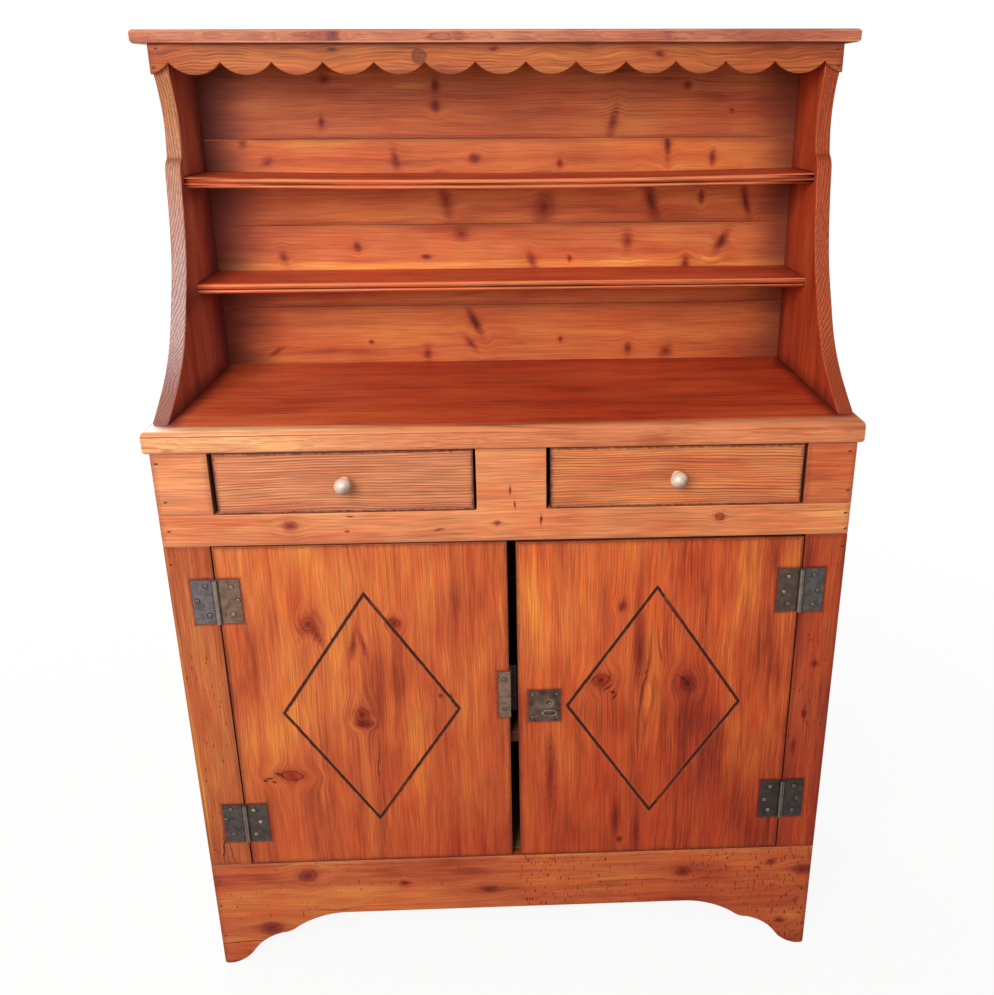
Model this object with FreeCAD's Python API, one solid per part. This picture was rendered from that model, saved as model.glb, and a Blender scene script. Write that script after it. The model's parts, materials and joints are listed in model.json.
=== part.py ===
import FreeCAD, Part
import math
import os

V = FreeCAD.Vector

# Main sizes of the case, in millimetres
CASE_W = 1000.0  # outer width of the base and of the rack above it
CASE_D = 386.0  # front face of the base to the front of the back planks
FRONT_T = 20.0  # boards of the front frame and of the doors
SIDE_T = 20.0  # side boards of the base
BACK_T = 14.0  # back planks
OVERRUN = 5.0  # how far a cut runs past the face it starts from
JOINT_FIT = 0.1  # clearance of a board in its housing or groove

# Heights of the base, one above the other
PLINTH_H = 208.5
DOOR_OPENING_H = 571.0
RAIL_H = 48.5
DRAWER_OPENING_H = 94.5
COUNTER_T = 32.0

# Heights of the rack, one above the other
LOWER_BAY_H = 144.0
RACK_SHELF_T = 15.0
MIDDLE_BAY_H = 144.5
TOP_BAY_H = 182.3
CORNICE_T = 18.0

# Front frame
STILE_LEFT_W = 66.5
STILE_RIGHT_W = 62.5
POST_LEFT_W = 78.5
POST_RIGHT_W = 71.0
POST_CENTRE_W = 100.5

# Plinth outline: a straight arch top, a cyma, a step and the toe of each foot
ARCH_H = 101.0
ARCH_TOP_HALF_W = 290.0
ARCH_STEP_H = 62.0
ARCH_STEP_HALF_W = 397.0
TOE_W = 14.0
TOE_ROUND = 5.0
# Points of the curves between those sizes: sideways share, upward share
ARCH_UPPER_MID_SHARES = (0.51, 0.67)
ARCH_UPPER_END_SHARES = (0.757, 0.28)
ARCH_STEP_MID_SHARES = (0.87, 0.08)
FOOT_UPPER_MID_SHARES = (0.31, 0.80)
FOOT_UPPER_END_SHARES = (0.57, 0.42)
FOOT_TOE_MID_SHARES = (0.75, 0.155)

# Cut-out between the front and back foot of each side board
SIDE_ARCH_H = 70.0
SIDE_ARCH_MARGIN = 70.0
SIDE_ARCH_ROUND = 50.0

# Counter board
COUNTER_OVER_FRONT = 8.0
COUNTER_OVER_SIDE = 6.0
COUNTER_NOSE_TOP_R = 10.0
COUNTER_NOSE_UNDER_R = 6.0
COUNTER_END_R = 6.0

# Inside of the base
BOTTOM_T = 18.0
HOUSING_D = 6.0
INNER_SHELF_T = 18.0
INNER_SHELF_TOP_Z = 437.0
INNER_SHELF_SIDE_GAP = 0.5
DOOR_STOP_GAP = 0.3  # the shelf's front edge stops the doors
CLEAT_W = 20.0
CLEAT_H = 25.0
CLEAT_BACK_GAP = 30.0
BASE_PLANK_COUNT = 4
BASE_PLANK_GAP = 0.4
RUNNER_T = 20.0
RUNNER_BEARING_W = 26.0
GUIDE_H = 22.0
GUIDE_GAP = 0.5
GUIDE_SET_BACK = 40.0

# Rack; its depths run forward from the back planks
RACK_SIDE_T = 23.0
RACK_FOOT_Y = 28.0  # front end of the side board where it stands on the counter
WAIST_D = 148.0
WAIST_DROP = 178.0  # waist below the cornice
NIB_D = 132.0
NIB_H = 23.0
THROAT_D = 123.5
VALANCE_D = 154.0
VALANCE_T = 12.0
VALANCE_H = 41.3
SCALLOP_COUNT = 13
SCALLOP_RISE = 17.0
SCALLOP_END_W = 26.8
RACK_SHELF_D = 133.0
UPPER_SHELF_SAG = 6.0  # the upper shelf has sunk by this much in the middle
SHELF_FIT = 0.3  # clearance above and below a shelf in its housing
BEAD_UPPER_SHARE = 0.60
BEAD_SETBACK = 1.8
BEAD_GROOVE_D = 1.2
BEAD_GROOVE_W = 1.2
CORNICE_OVER_SIDE = 20.0
CORNICE_OVER_FRONT = 11.0
CORNICE_R = 5.0
RACK_PLANK_COUNT = 4
RACK_PLANK_DROP = 4.5  # lowest rack plank below the counter's underside
# Points of the sweep from the counter up to the waist: forward share, upward share
SWEEP_SHARES = (
    (0.224, 0.082),
    (0.438, 0.178),
    (0.600, 0.289),
    (0.719, 0.419),
    (0.824, 0.543),
    (0.930, 0.745),
)
NIB_MID_SHARES = (0.34, 0.66)
THROAT_MID_SHARE = 0.40

# Drawers
DRAWER_LEFT_GAP = 6.5
DRAWER_RIGHT_GAP = 5.5
DRAWER_PLAY = 10.0  # a front is narrower than its opening by this much
DRAWER_TOP_GAP = 1.6
DRAWER_BOTTOM_GAP = 0.6
DRAWER_RUN_GAP = 0.3
DRAWER_BACK_CLEAR = 36.0  # behind the closed drawer
DRAWER_SIDE_T = 12.0
DRAWER_SIDE_H = 80.0
DRAWER_SIDE_INSET = 3.0
DRAWER_LAP = 10.0
DRAWER_BACK_T = 12.0
DRAWER_BOTTOM_T = 6.0
DRAWER_BOTTOM_UP = 8.0
DRAWER_GROOVE_D = 5.0
FRONT_EASE = 1.5

# Drawer knobs
KNOB_R = 12.4
KNOB_HEAD_L = 24.8
KNOB_NECK_R = 5.0
KNOB_NECK_L = 4.0
KNOB_BASE_R = 8.0
KNOB_BASE_T = 2.2
KNOB_SHANK_R = 2.4
KNOB_SHANK_L = 16.0
# Turned rings of the head from its front: share of its radius, share of its length
KNOB_HEAD_SHARES = ((0.50, 0.0), (1.0, 0.28), (1.0, 0.68))
PIN_FIT = 0.05  # radial clearance of a pin or shank in its hole

# Doors
HINGE_SIDE_GAP = 2.0
MEETING_GAP_W = 13.0
MEETING_GAP_X = 2.0
DOOR_BOTTOM_GAP = 1.5
LEFT_DOOR_TOP_GAP = 1.5
RIGHT_DOOR_TOP_GAP = 3.5
DOOR_SEAM_OFF = 9.0
SEAM_GAP = 0.2
LOZENGE_HALF_W = 135.0
LOZENGE_HALF_H = 202.0
LOZENGE_UP = 2.0
RIGHT_LOZENGE_SHIFT = -2.0  # from the middle of the right door
GROOVE_W = 5.0
GROOVE_D = 3.0
LEDGE_W = 60.0
LEDGE_T = 18.0
LEDGE_END_GAP = 32.0
LEDGE_MARGIN = 60.0
LEDGE_BEVEL = 6.0

# Butt hinges, laid on the faces of door and stile
LEAF_W = 35.0
LEAF_H = 71.0
LEAF_T = 1.8
BARREL_R = 3.4
BARREL_LIFT = 0.15
BARREL_SIDE_GAP = 0.3
KNUCKLE_COUNT = 3
KNUCKLE_GAP = 0.3
PIN_R = 1.6
UPPER_LEFT_HINGE_Z = 691.0
LOWER_LEFT_HINGE_Z = 292.0
UPPER_RIGHT_HINGE_Z = 689.0
LOWER_RIGHT_HINGE_Z = 309.0

# Lock plate with its boss, drop loop, case and bolt on the right door
PLATE_W = 49.0
PLATE_H = 55.0
PLATE_T = 1.6
PLATE_X = 25.0  # left edge of the plate
PLATE_Z = 470.0  # lower edge of the plate
PLATE_CORNER_R = 1.5
BOSS_X = 57.0
BOSS_Z = 504.0
BOSS_R = 9.8
BOSS_T = 3.0
BOSS_RECESS_R = 5.0
BOSS_RECESS_D = 2.4
BOSS_PIN_R = 2.2
LUG_DROP = 12.6  # loop's axis below the boss's centre
LUG_OUT = 5.0  # loop's axis in front of the door
LUG_R = 2.3
LUG_L = 7.0
LUG_WEB_T = 2.0
LUG_END_GAP = 0.4
LOOP_BAR = 2.2
LOOP_SPINDLE_R = 1.0
LOOP_STRAIGHT = 11.5
LOOP_BEND_R = 5.0
CASE_INSET = 11.0
LOCK_CASE_T = 14.0
BOLT_H = 11.0
BOLT_T = 5.0
BOLT_Y = 10.0
BOLT_Z = 505.0
BOLT_TIP_GAP = 0.5
BOLT_L = 47.0
BOLT_THROW = 20.0
BOLT_FIT = 0.6
BOLT_END_CLEAR = 5.5  # left beyond the thrown bolt in its mortise

# Keep on the meeting edge of the left door
KEEP_T = 1.5
KEEP_FLANGE_W = 17.0
KEEP_LOW_Z = 479.0
KEEP_H = 81.0
KEEP_LIP_GAP = 2.0
KEEP_ROUND = 4.0

# Heights above the floor that follow
RAIL_Z = PLINTH_H + DOOR_OPENING_H
DRAWER_Z = RAIL_Z + RAIL_H
COUNTER_Z = DRAWER_Z + DRAWER_OPENING_H
RACK_Z = COUNTER_Z + COUNTER_T
LOWER_SHELF_Z = RACK_Z + LOWER_BAY_H
UPPER_SHELF_Z = LOWER_SHELF_Z + RACK_SHELF_T + MIDDLE_BAY_H
CORNICE_Z = UPPER_SHELF_Z + RACK_SHELF_T + TOP_BAY_H
TOP_Z = CORNICE_Z + CORNICE_T

# Depths of the rack that follow, from the front face
WAIST_Y = CASE_D - WAIST_D
NIB_Y = CASE_D - NIB_D
THROAT_Y = CASE_D - THROAT_D
VALANCE_Y = CASE_D - VALANCE_D
RACK_SHELF_Y = CASE_D - RACK_SHELF_D

# Places across the front that follow
HALF_W = CASE_W / 2
LEFT_STILE_X = -HALF_W + STILE_LEFT_W
RIGHT_STILE_X = HALF_W - STILE_RIGHT_W
DRAWER_OPENING_W = (CASE_W - POST_LEFT_W - POST_CENTRE_W - POST_RIGHT_W) / 2
DRAWER_FRONT_W = DRAWER_OPENING_W - DRAWER_PLAY
DRAWER_DEPTH = CASE_D - DRAWER_BACK_CLEAR
LEFT_OPENING_X = -HALF_W + POST_LEFT_W
CENTRE_POST_X = LEFT_OPENING_X + DRAWER_OPENING_W
RIGHT_OPENING_X = CENTRE_POST_X + POST_CENTRE_W
LEFT_DOOR_X0 = LEFT_STILE_X + HINGE_SIDE_GAP
LEFT_DOOR_X1 = MEETING_GAP_X - MEETING_GAP_W / 2
RIGHT_DOOR_X0 = MEETING_GAP_X + MEETING_GAP_W / 2
RIGHT_DOOR_X1 = RIGHT_STILE_X - HINGE_SIDE_GAP
DOOR_Z0 = PLINTH_H + DOOR_BOTTOM_GAP
KNOB_OUT = KNOB_BASE_T + KNOB_NECK_L + KNOB_HEAD_L
HINGE_Y = -BARREL_R - BARREL_LIFT
LEFT_HINGE_X = LEFT_STILE_X + HINGE_SIDE_GAP / 2
RIGHT_HINGE_X = RIGHT_STILE_X - HINGE_SIDE_GAP / 2
LUG_Z = BOSS_Z - LUG_DROP

# Depth from the front face is measured here; the finished pieces are set back by this much,
# so that the middle of the overall depth lies over the origin
FACE_Y = -(CASE_D + BACK_T - KNOB_OUT) / 2


def box(x0, x1, y0, y1, z0, z1):
    return Part.makeBox(x1 - x0, y1 - y0, z1 - z0, V(x0, y0, z0))


def rod(radius, length, place, direction):
    return Part.makeCylinder(radius, length, place, direction)


def line(p, q):
    return Part.LineSegment(p, q).toShape()


def arc(p, q, r):
    return Part.Arc(p, q, r).toShape()


def board_from_edges(edges, depth):
    return Part.Face(Part.Wire(Part.__sortEdges__(edges))).extrude(depth)


def write(name, shape):
    placed = shape.copy()
    placed.translate(V(0, FACE_Y, 0))
    placed.exportStep("parts/" + name + ".step")


def mirrored(shape):
    return shape.mirror(V(0, 0, 0), V(1, 0, 0))


# Front frame


def between(x0, x1, z0, z1, shares):
    """Point of the front outline at these shares of the way from one corner to the other."""
    return V(x0 + (x1 - x0) * shares[0], 0, z0 + (z1 - z0) * shares[1])


def plinth_half_edges():
    """Outline of the right half of the plinth, from the middle out to the toe and back."""
    toe_x = HALF_W - TOE_W
    top = V(ARCH_TOP_HALF_W, 0, ARCH_H)
    upper_mid = between(ARCH_TOP_HALF_W, ARCH_STEP_HALF_W, ARCH_STEP_H, ARCH_H, ARCH_UPPER_MID_SHARES)
    upper_end = between(ARCH_TOP_HALF_W, ARCH_STEP_HALF_W, ARCH_STEP_H, ARCH_H, ARCH_UPPER_END_SHARES)
    step_mid = between(ARCH_TOP_HALF_W, ARCH_STEP_HALF_W, ARCH_STEP_H, ARCH_H, ARCH_STEP_MID_SHARES)
    step = V(ARCH_STEP_HALF_W, 0, ARCH_STEP_H)
    foot_mid = between(ARCH_STEP_HALF_W, toe_x, 0, ARCH_STEP_H, FOOT_UPPER_MID_SHARES)
    foot_end = between(ARCH_STEP_HALF_W, toe_x, 0, ARCH_STEP_H, FOOT_UPPER_END_SHARES)
    toe_mid = between(ARCH_STEP_HALF_W, toe_x, 0, ARCH_STEP_H, FOOT_TOE_MID_SHARES)
    toe = V(toe_x, 0, 0)
    turn = TOE_ROUND * (1 - math.cos(math.pi / 4))
    corner_in = V(HALF_W - TOE_ROUND, 0, 0)
    corner_mid = V(HALF_W - turn, 0, turn)
    corner_up = V(HALF_W, 0, TOE_ROUND)
    top_corner = V(HALF_W, 0, PLINTH_H)
    return [
        line(V(0, 0, ARCH_H), top),
        arc(top, upper_mid, upper_end),
        arc(upper_end, step_mid, step),
        arc(step, foot_mid, foot_end),
        arc(foot_end, toe_mid, toe),
        line(toe, corner_in),
        arc(corner_in, corner_mid, corner_up),
        line(corner_up, top_corner),
        line(top_corner, V(0, 0, PLINTH_H)),
    ]


def plinth_board():
    right = plinth_half_edges()
    left = [mirrored(edge) for edge in right]
    return board_from_edges(right + left, V(0, FRONT_T, 0))


def stile(x0, x1):
    return box(x0, x1, 0, FRONT_T, PLINTH_H, RAIL_Z)


def drawer_rail():
    """The rail and the post between the drawers are cut from one board."""
    rail = box(-HALF_W, HALF_W, 0, FRONT_T, RAIL_Z, DRAWER_Z)
    post = box(CENTRE_POST_X, RIGHT_OPENING_X, 0, FRONT_T, DRAWER_Z, COUNTER_Z)
    return rail.fuse(post).removeSplitter()


def drawer_post(side):
    if side < 0:
        return box(-HALF_W, LEFT_OPENING_X, 0, FRONT_T, DRAWER_Z, COUNTER_Z)
    return box(HALF_W - POST_RIGHT_W, HALF_W, 0, FRONT_T, DRAWER_Z, COUNTER_Z)


# Base


def base_side(side):
    """Side board of the base with a rounded cut-out between its feet and a housing for the bottom."""
    board = box(-HALF_W, -HALF_W + SIDE_T, FRONT_T, CASE_D, 0, COUNTER_Z)
    arch = box(-HALF_W - OVERRUN, -HALF_W + SIDE_T + OVERRUN,
               FRONT_T + SIDE_ARCH_MARGIN, CASE_D - SIDE_ARCH_MARGIN, -SIDE_ARCH_H, SIDE_ARCH_H)
    upper = [e for e in arch.Edges if abs(e.BoundBox.ZMin - SIDE_ARCH_H) < JOINT_FIT
             and e.BoundBox.XLength > SIDE_T]
    arch = arch.makeFillet(SIDE_ARCH_ROUND, upper)
    housing = box(-HALF_W + SIDE_T - HOUSING_D - JOINT_FIT, -HALF_W + SIDE_T + OVERRUN,
                  FRONT_T - OVERRUN, CASE_D + OVERRUN,
                  PLINTH_H - BOTTOM_T - JOINT_FIT, PLINTH_H + JOINT_FIT)
    board = board.cut(arch).cut(housing)
    return board if side < 0 else mirrored(board)


def bottom_board():
    half = HALF_W - SIDE_T + HOUSING_D
    return box(-half, half, FRONT_T, CASE_D, PLINTH_H - BOTTOM_T, PLINTH_H)


def inner_shelf():
    half = HALF_W - SIDE_T - INNER_SHELF_SIDE_GAP
    return box(-half, half, FRONT_T + DOOR_STOP_GAP, CASE_D,
               INNER_SHELF_TOP_Z - INNER_SHELF_T, INNER_SHELF_TOP_Z)


def shelf_cleats():
    top = INNER_SHELF_TOP_Z - INNER_SHELF_T
    left = box(-HALF_W + SIDE_T, -HALF_W + SIDE_T + CLEAT_W,
               FRONT_T + CLEAT_BACK_GAP, CASE_D - CLEAT_BACK_GAP, top - CLEAT_H, top)
    return Part.makeCompound([left, mirrored(left)])


def runner(x0, x1, guide_x0, guide_x1):
    """Drawer runner behind the rail, with the guide that keeps the drawer straight."""
    bearing = box(x0, x1, FRONT_T, CASE_D, DRAWER_Z - RUNNER_T, DRAWER_Z)
    guide = box(guide_x0, guide_x1, FRONT_T + GUIDE_SET_BACK, CASE_D, DRAWER_Z, DRAWER_Z + GUIDE_H)
    return bearing.fuse(guide).removeSplitter()


def drawer_side_faces(front_x):
    """Outer faces of the two sides of the drawer whose front starts at this place."""
    return front_x + DRAWER_SIDE_INSET, front_x + DRAWER_FRONT_W - DRAWER_SIDE_INSET


def left_front_x():
    return LEFT_OPENING_X + DRAWER_LEFT_GAP


def right_front_x():
    return RIGHT_OPENING_X + DRAWER_RIGHT_GAP


def runner_left():
    face = drawer_side_faces(left_front_x())[0]
    wall = -HALF_W + SIDE_T
    return runner(wall, face + RUNNER_BEARING_W, wall, face - GUIDE_GAP)


def runner_centre():
    left_face = drawer_side_faces(left_front_x())[1]
    right_face = drawer_side_faces(right_front_x())[0]
    return runner(left_face - RUNNER_BEARING_W, right_face + RUNNER_BEARING_W,
                  left_face + GUIDE_GAP, right_face - GUIDE_GAP)


def runner_right():
    face = drawer_side_faces(right_front_x())[1]
    wall = HALF_W - SIDE_T
    return runner(face - RUNNER_BEARING_W, wall, face + GUIDE_GAP, wall)


def base_plank(index):
    width = (COUNTER_Z - RACK_PLANK_DROP - ARCH_H) / BASE_PLANK_COUNT
    z0 = ARCH_H + width * index
    return box(-HALF_W, HALF_W, CASE_D, CASE_D + BACK_T, z0, z0 + width - BASE_PLANK_GAP)


def counter_top():
    """One board with a moulded nose along the front and rounded ends."""
    y0 = -COUNTER_OVER_FRONT
    top_turn = COUNTER_NOSE_TOP_R * (1 - math.cos(math.pi / 4))
    under_turn = COUNTER_NOSE_UNDER_R * (1 - math.cos(math.pi / 4))
    half = HALF_W + COUNTER_OVER_SIDE
    nose = [
        line(V(-half, CASE_D, COUNTER_Z), V(-half, CASE_D, RACK_Z)),
        line(V(-half, CASE_D, RACK_Z), V(-half, y0 + COUNTER_NOSE_TOP_R, RACK_Z)),
        arc(V(-half, y0 + COUNTER_NOSE_TOP_R, RACK_Z), V(-half, y0 + top_turn, RACK_Z - top_turn),
            V(-half, y0, RACK_Z - COUNTER_NOSE_TOP_R)),
        line(V(-half, y0, RACK_Z - COUNTER_NOSE_TOP_R), V(-half, y0, COUNTER_Z + COUNTER_NOSE_UNDER_R)),
        arc(V(-half, y0, COUNTER_Z + COUNTER_NOSE_UNDER_R), V(-half, y0 + under_turn, COUNTER_Z + under_turn),
            V(-half, y0 + COUNTER_NOSE_UNDER_R, COUNTER_Z)),
        line(V(-half, y0 + COUNTER_NOSE_UNDER_R, COUNTER_Z), V(-half, CASE_D, COUNTER_Z)),
    ]
    moulded = board_from_edges(nose, V(2 * half, 0, 0))
    return moulded.common(rounded_ends(half, COUNTER_Z, RACK_Z, COUNTER_END_R, y0, CASE_D))


def rounded_ends(half, z0, z1, radius, y0, y1):
    """Slab with all four long edges of its two ends rounded, to trim a moulded board."""
    slab = box(-half, half, y0 - OVERRUN, y1, z0, z1)
    ends = [e for e in slab.Edges if e.BoundBox.XLength < JOINT_FIT and e.BoundBox.ZLength < JOINT_FIT]
    return slab.makeFillet(radius, ends)


# Rack


def rack_side(side):
    """Side board of the rack: a long sweep up from the counter, a nib at the waist, a hollow throat."""
    x0 = -HALF_W
    waist_z = CORNICE_Z - WAIST_DROP
    nib_z = waist_z + NIB_H
    valance_z = CORNICE_Z - VALANCE_H
    back_y = VALANCE_Y + VALANCE_T

    def at(y, z):
        return V(x0, y, z)

    foot = at(RACK_FOOT_Y, RACK_Z)
    waist = at(WAIST_Y, waist_z)
    on_sweep = [at(RACK_FOOT_Y + (WAIST_Y - RACK_FOOT_Y) * share_y, RACK_Z + (waist_z - RACK_Z) * share_z)
                for share_y, share_z in SWEEP_SHARES]
    sweep = Part.BSplineCurve()
    sweep.interpolate([foot] + on_sweep + [waist])
    nib = at(NIB_Y, nib_z)
    nib_mid = at(WAIST_Y + (NIB_Y - WAIST_Y) * NIB_MID_SHARES[0], waist_z + NIB_H * NIB_MID_SHARES[1])
    throat = at(THROAT_Y, nib_z + (valance_z - nib_z) * THROAT_MID_SHARE)
    lip = at(back_y, valance_z)
    edges = [
        sweep.toShape(),
        arc(waist, nib_mid, nib),
        arc(nib, throat, lip),
        line(lip, at(back_y, CORNICE_Z)),
        line(at(back_y, CORNICE_Z), at(CASE_D, CORNICE_Z)),
        line(at(CASE_D, CORNICE_Z), at(CASE_D, RACK_Z)),
        line(at(CASE_D, RACK_Z), foot),
    ]
    board = board_from_edges(edges, V(RACK_SIDE_T, 0, 0))
    for shelf_z in (LOWER_SHELF_Z, UPPER_SHELF_Z):
        board = board.cut(box(x0 + RACK_SIDE_T - HOUSING_D - JOINT_FIT, x0 + RACK_SIDE_T + OVERRUN,
                              RACK_SHELF_Y - JOINT_FIT, CASE_D + OVERRUN,
                              shelf_z - SHELF_FIT, shelf_z + RACK_SHELF_T + SHELF_FIT))
    return board if side < 0 else mirrored(board)


def shelf_edges(x, z0):
    """Section of a shelf: a large bead over a small one along the front, and a groove between them."""
    z1 = z0 + RACK_SHELF_T
    split = z1 - RACK_SHELF_T * BEAD_UPPER_SHARE
    groove_top = split + BEAD_GROOVE_W / 2
    groove_low = split - BEAD_GROOVE_W / 2
    upper_r = (z1 - groove_top) / 2
    lower_r = (groove_low - z0) / 2
    lower_y = RACK_SHELF_Y + BEAD_SETBACK
    groove_y = RACK_SHELF_Y + upper_r + BEAD_GROOVE_D

    def at(y, z):
        return V(x, y, z)

    return [
        line(at(CASE_D, z0), at(CASE_D, z1)),
        line(at(CASE_D, z1), at(RACK_SHELF_Y + upper_r, z1)),
        arc(at(RACK_SHELF_Y + upper_r, z1), at(RACK_SHELF_Y, z1 - upper_r),
            at(RACK_SHELF_Y + upper_r, groove_top)),
        line(at(RACK_SHELF_Y + upper_r, groove_top), at(groove_y, groove_top)),
        line(at(groove_y, groove_top), at(groove_y, groove_low)),
        line(at(groove_y, groove_low), at(lower_y + lower_r, groove_low)),
        arc(at(lower_y + lower_r, groove_low), at(lower_y, groove_low - lower_r), at(lower_y + lower_r, z0)),
        line(at(lower_y + lower_r, z0), at(CASE_D, z0)),
    ]


def straight_shelf(z0):
    half = HALF_W - RACK_SIDE_T + HOUSING_D
    return board_from_edges(shelf_edges(-half, z0), V(2 * half, 0, 0))


def sunken_shelf(end_z, sag):
    """Shelf whose section follows a very large arc, because the board has sunk in the middle."""
    half = HALF_W - RACK_SIDE_T + HOUSING_D
    z0 = end_z - sag
    bend_r = (half ** 2 + sag ** 2) / (2 * sag)
    centre = V(0, 0, z0 + bend_r)
    reach = math.degrees(math.asin((half + OVERRUN) / (bend_r - RACK_SHELF_T)))
    section = Part.Face(Part.Wire(Part.__sortEdges__(shelf_edges(0, z0))))
    section.rotate(centre, V(0, 1, 0), -reach)
    board = section.revolve(centre, V(0, 1, 0), 2 * reach)
    return board.common(box(-half, half, RACK_SHELF_Y - OVERRUN, CASE_D + OVERRUN,
                            z0 - OVERRUN, end_z + RACK_SHELF_T + OVERRUN))


def rack_plank(index):
    z_low = COUNTER_Z - RACK_PLANK_DROP
    width = (CORNICE_Z - z_low) / RACK_PLANK_COUNT
    z0 = z_low + width * index
    gap = BASE_PLANK_GAP if index < RACK_PLANK_COUNT - 1 else 0
    return box(-HALF_W, HALF_W, CASE_D, CASE_D + BACK_T, z0, z0 + width - gap)


def valance():
    """Board under the cornice whose lower edge is a run of hanging scallops."""
    pitch = (CASE_W - 2 * SCALLOP_END_W) / SCALLOP_COUNT
    low = CORNICE_Z - VALANCE_H
    cusp_z = low + SCALLOP_RISE
    radius = ((pitch / 2) ** 2 + SCALLOP_RISE ** 2) / (2 * SCALLOP_RISE)
    first = -HALF_W + SCALLOP_END_W

    def on_end(from_cusp):
        off = pitch / 2 - from_cusp
        return low + radius - math.sqrt(radius ** 2 - off ** 2)

    y0 = VALANCE_Y
    end_low = V(-HALF_W, y0, on_end(SCALLOP_END_W))
    end_mid = V(-HALF_W + SCALLOP_END_W / 2, y0, on_end(SCALLOP_END_W / 2))
    left_end = arc(end_low, end_mid, V(first, y0, cusp_z))
    edges = [left_end, mirrored(left_end)]
    for i in range(SCALLOP_COUNT):
        x = first + pitch * i
        edges.append(arc(V(x, y0, cusp_z), V(x + pitch / 2, y0, low), V(x + pitch, y0, cusp_z)))
    edges += [
        line(end_low, V(-HALF_W, y0, CORNICE_Z)),
        line(V(-HALF_W, y0, CORNICE_Z), V(HALF_W, y0, CORNICE_Z)),
        line(V(HALF_W, y0, CORNICE_Z), V(HALF_W, y0, on_end(SCALLOP_END_W))),
    ]
    return board_from_edges(edges, V(0, VALANCE_T, 0))


def cornice_board():
    half = HALF_W + CORNICE_OVER_SIDE
    y0 = VALANCE_Y - CORNICE_OVER_FRONT
    y1 = CASE_D + BACK_T
    slab = box(-half, half, y0, y1 + OVERRUN, CORNICE_Z, TOP_Z)
    fronts = [e for e in slab.Edges if abs(e.BoundBox.YMax - y0) < JOINT_FIT and e.BoundBox.XLength > half]
    moulded = slab.makeFillet(CORNICE_R, fronts)
    return moulded.common(rounded_ends(half, CORNICE_Z, TOP_Z, CORNICE_R, y0, y1))


# Drawers


def drawer_front(x0, knob_x, knob_z):
    """Front board, rebated behind at both ends for the sides and grooved for the bottom."""
    x1 = x0 + DRAWER_FRONT_W
    z0 = DRAWER_Z + DRAWER_BOTTOM_GAP
    z1 = COUNTER_Z - DRAWER_TOP_GAP
    side_low = DRAWER_Z + DRAWER_RUN_GAP
    board = box(x0, x1, 0, FRONT_T, z0, z1)
    eased = [e for e in board.Edges if e.BoundBox.YMax < FRONT_EASE]
    board = board.makeFillet(FRONT_EASE, eased)
    left, right = drawer_side_faces(x0)
    lap_y = FRONT_T - DRAWER_LAP - JOINT_FIT
    lap_top = side_low + DRAWER_SIDE_H + JOINT_FIT
    for a, b in ((x0 - OVERRUN, left + DRAWER_SIDE_T + JOINT_FIT),
                 (right - DRAWER_SIDE_T - JOINT_FIT, x1 + OVERRUN)):
        board = board.cut(box(a, b, lap_y, FRONT_T + OVERRUN, z0 - OVERRUN, lap_top))
    groove_z = side_low + DRAWER_BOTTOM_UP
    board = board.cut(box(left + DRAWER_SIDE_T - DRAWER_GROOVE_D, right - DRAWER_SIDE_T + DRAWER_GROOVE_D,
                          FRONT_T - DRAWER_GROOVE_D - JOINT_FIT, FRONT_T + OVERRUN,
                          groove_z - JOINT_FIT, groove_z + DRAWER_BOTTOM_T + JOINT_FIT))
    bore = rod(KNOB_SHANK_R + PIN_FIT, FRONT_T + 2 * OVERRUN, V(knob_x, -OVERRUN, knob_z), V(0, 1, 0))
    return board.cut(bore)


def drawer_side(face, inward):
    """Side board; the inward sign says on which hand the inside of the drawer lies."""
    z0 = DRAWER_Z + DRAWER_RUN_GAP
    xs = sorted((face, face + inward * DRAWER_SIDE_T))
    board = box(xs[0], xs[1], FRONT_T - DRAWER_LAP, DRAWER_DEPTH, z0, z0 + DRAWER_SIDE_H)
    inner = face + inward * DRAWER_SIDE_T
    groove = sorted((inner - inward * (DRAWER_GROOVE_D + JOINT_FIT), inner + inward * OVERRUN))
    z_groove = z0 + DRAWER_BOTTOM_UP
    return board.cut(box(groove[0], groove[1], FRONT_T - DRAWER_LAP - OVERRUN, DRAWER_DEPTH + OVERRUN,
                         z_groove - JOINT_FIT, z_groove + DRAWER_BOTTOM_T + JOINT_FIT))


def drawer_back(x0):
    left, right = drawer_side_faces(x0)
    z0 = DRAWER_Z + DRAWER_RUN_GAP
    return box(left + DRAWER_SIDE_T, right - DRAWER_SIDE_T, DRAWER_DEPTH - DRAWER_BACK_T, DRAWER_DEPTH,
               z0 + DRAWER_BOTTOM_UP + DRAWER_BOTTOM_T + JOINT_FIT, z0 + DRAWER_SIDE_H)


def drawer_bottom(x0):
    left, right = drawer_side_faces(x0)
    z0 = DRAWER_Z + DRAWER_RUN_GAP + DRAWER_BOTTOM_UP
    inset = DRAWER_SIDE_T - DRAWER_GROOVE_D
    return box(left + inset, right - inset, FRONT_T - DRAWER_GROOVE_D, DRAWER_DEPTH, z0, z0 + DRAWER_BOTTOM_T)


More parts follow.
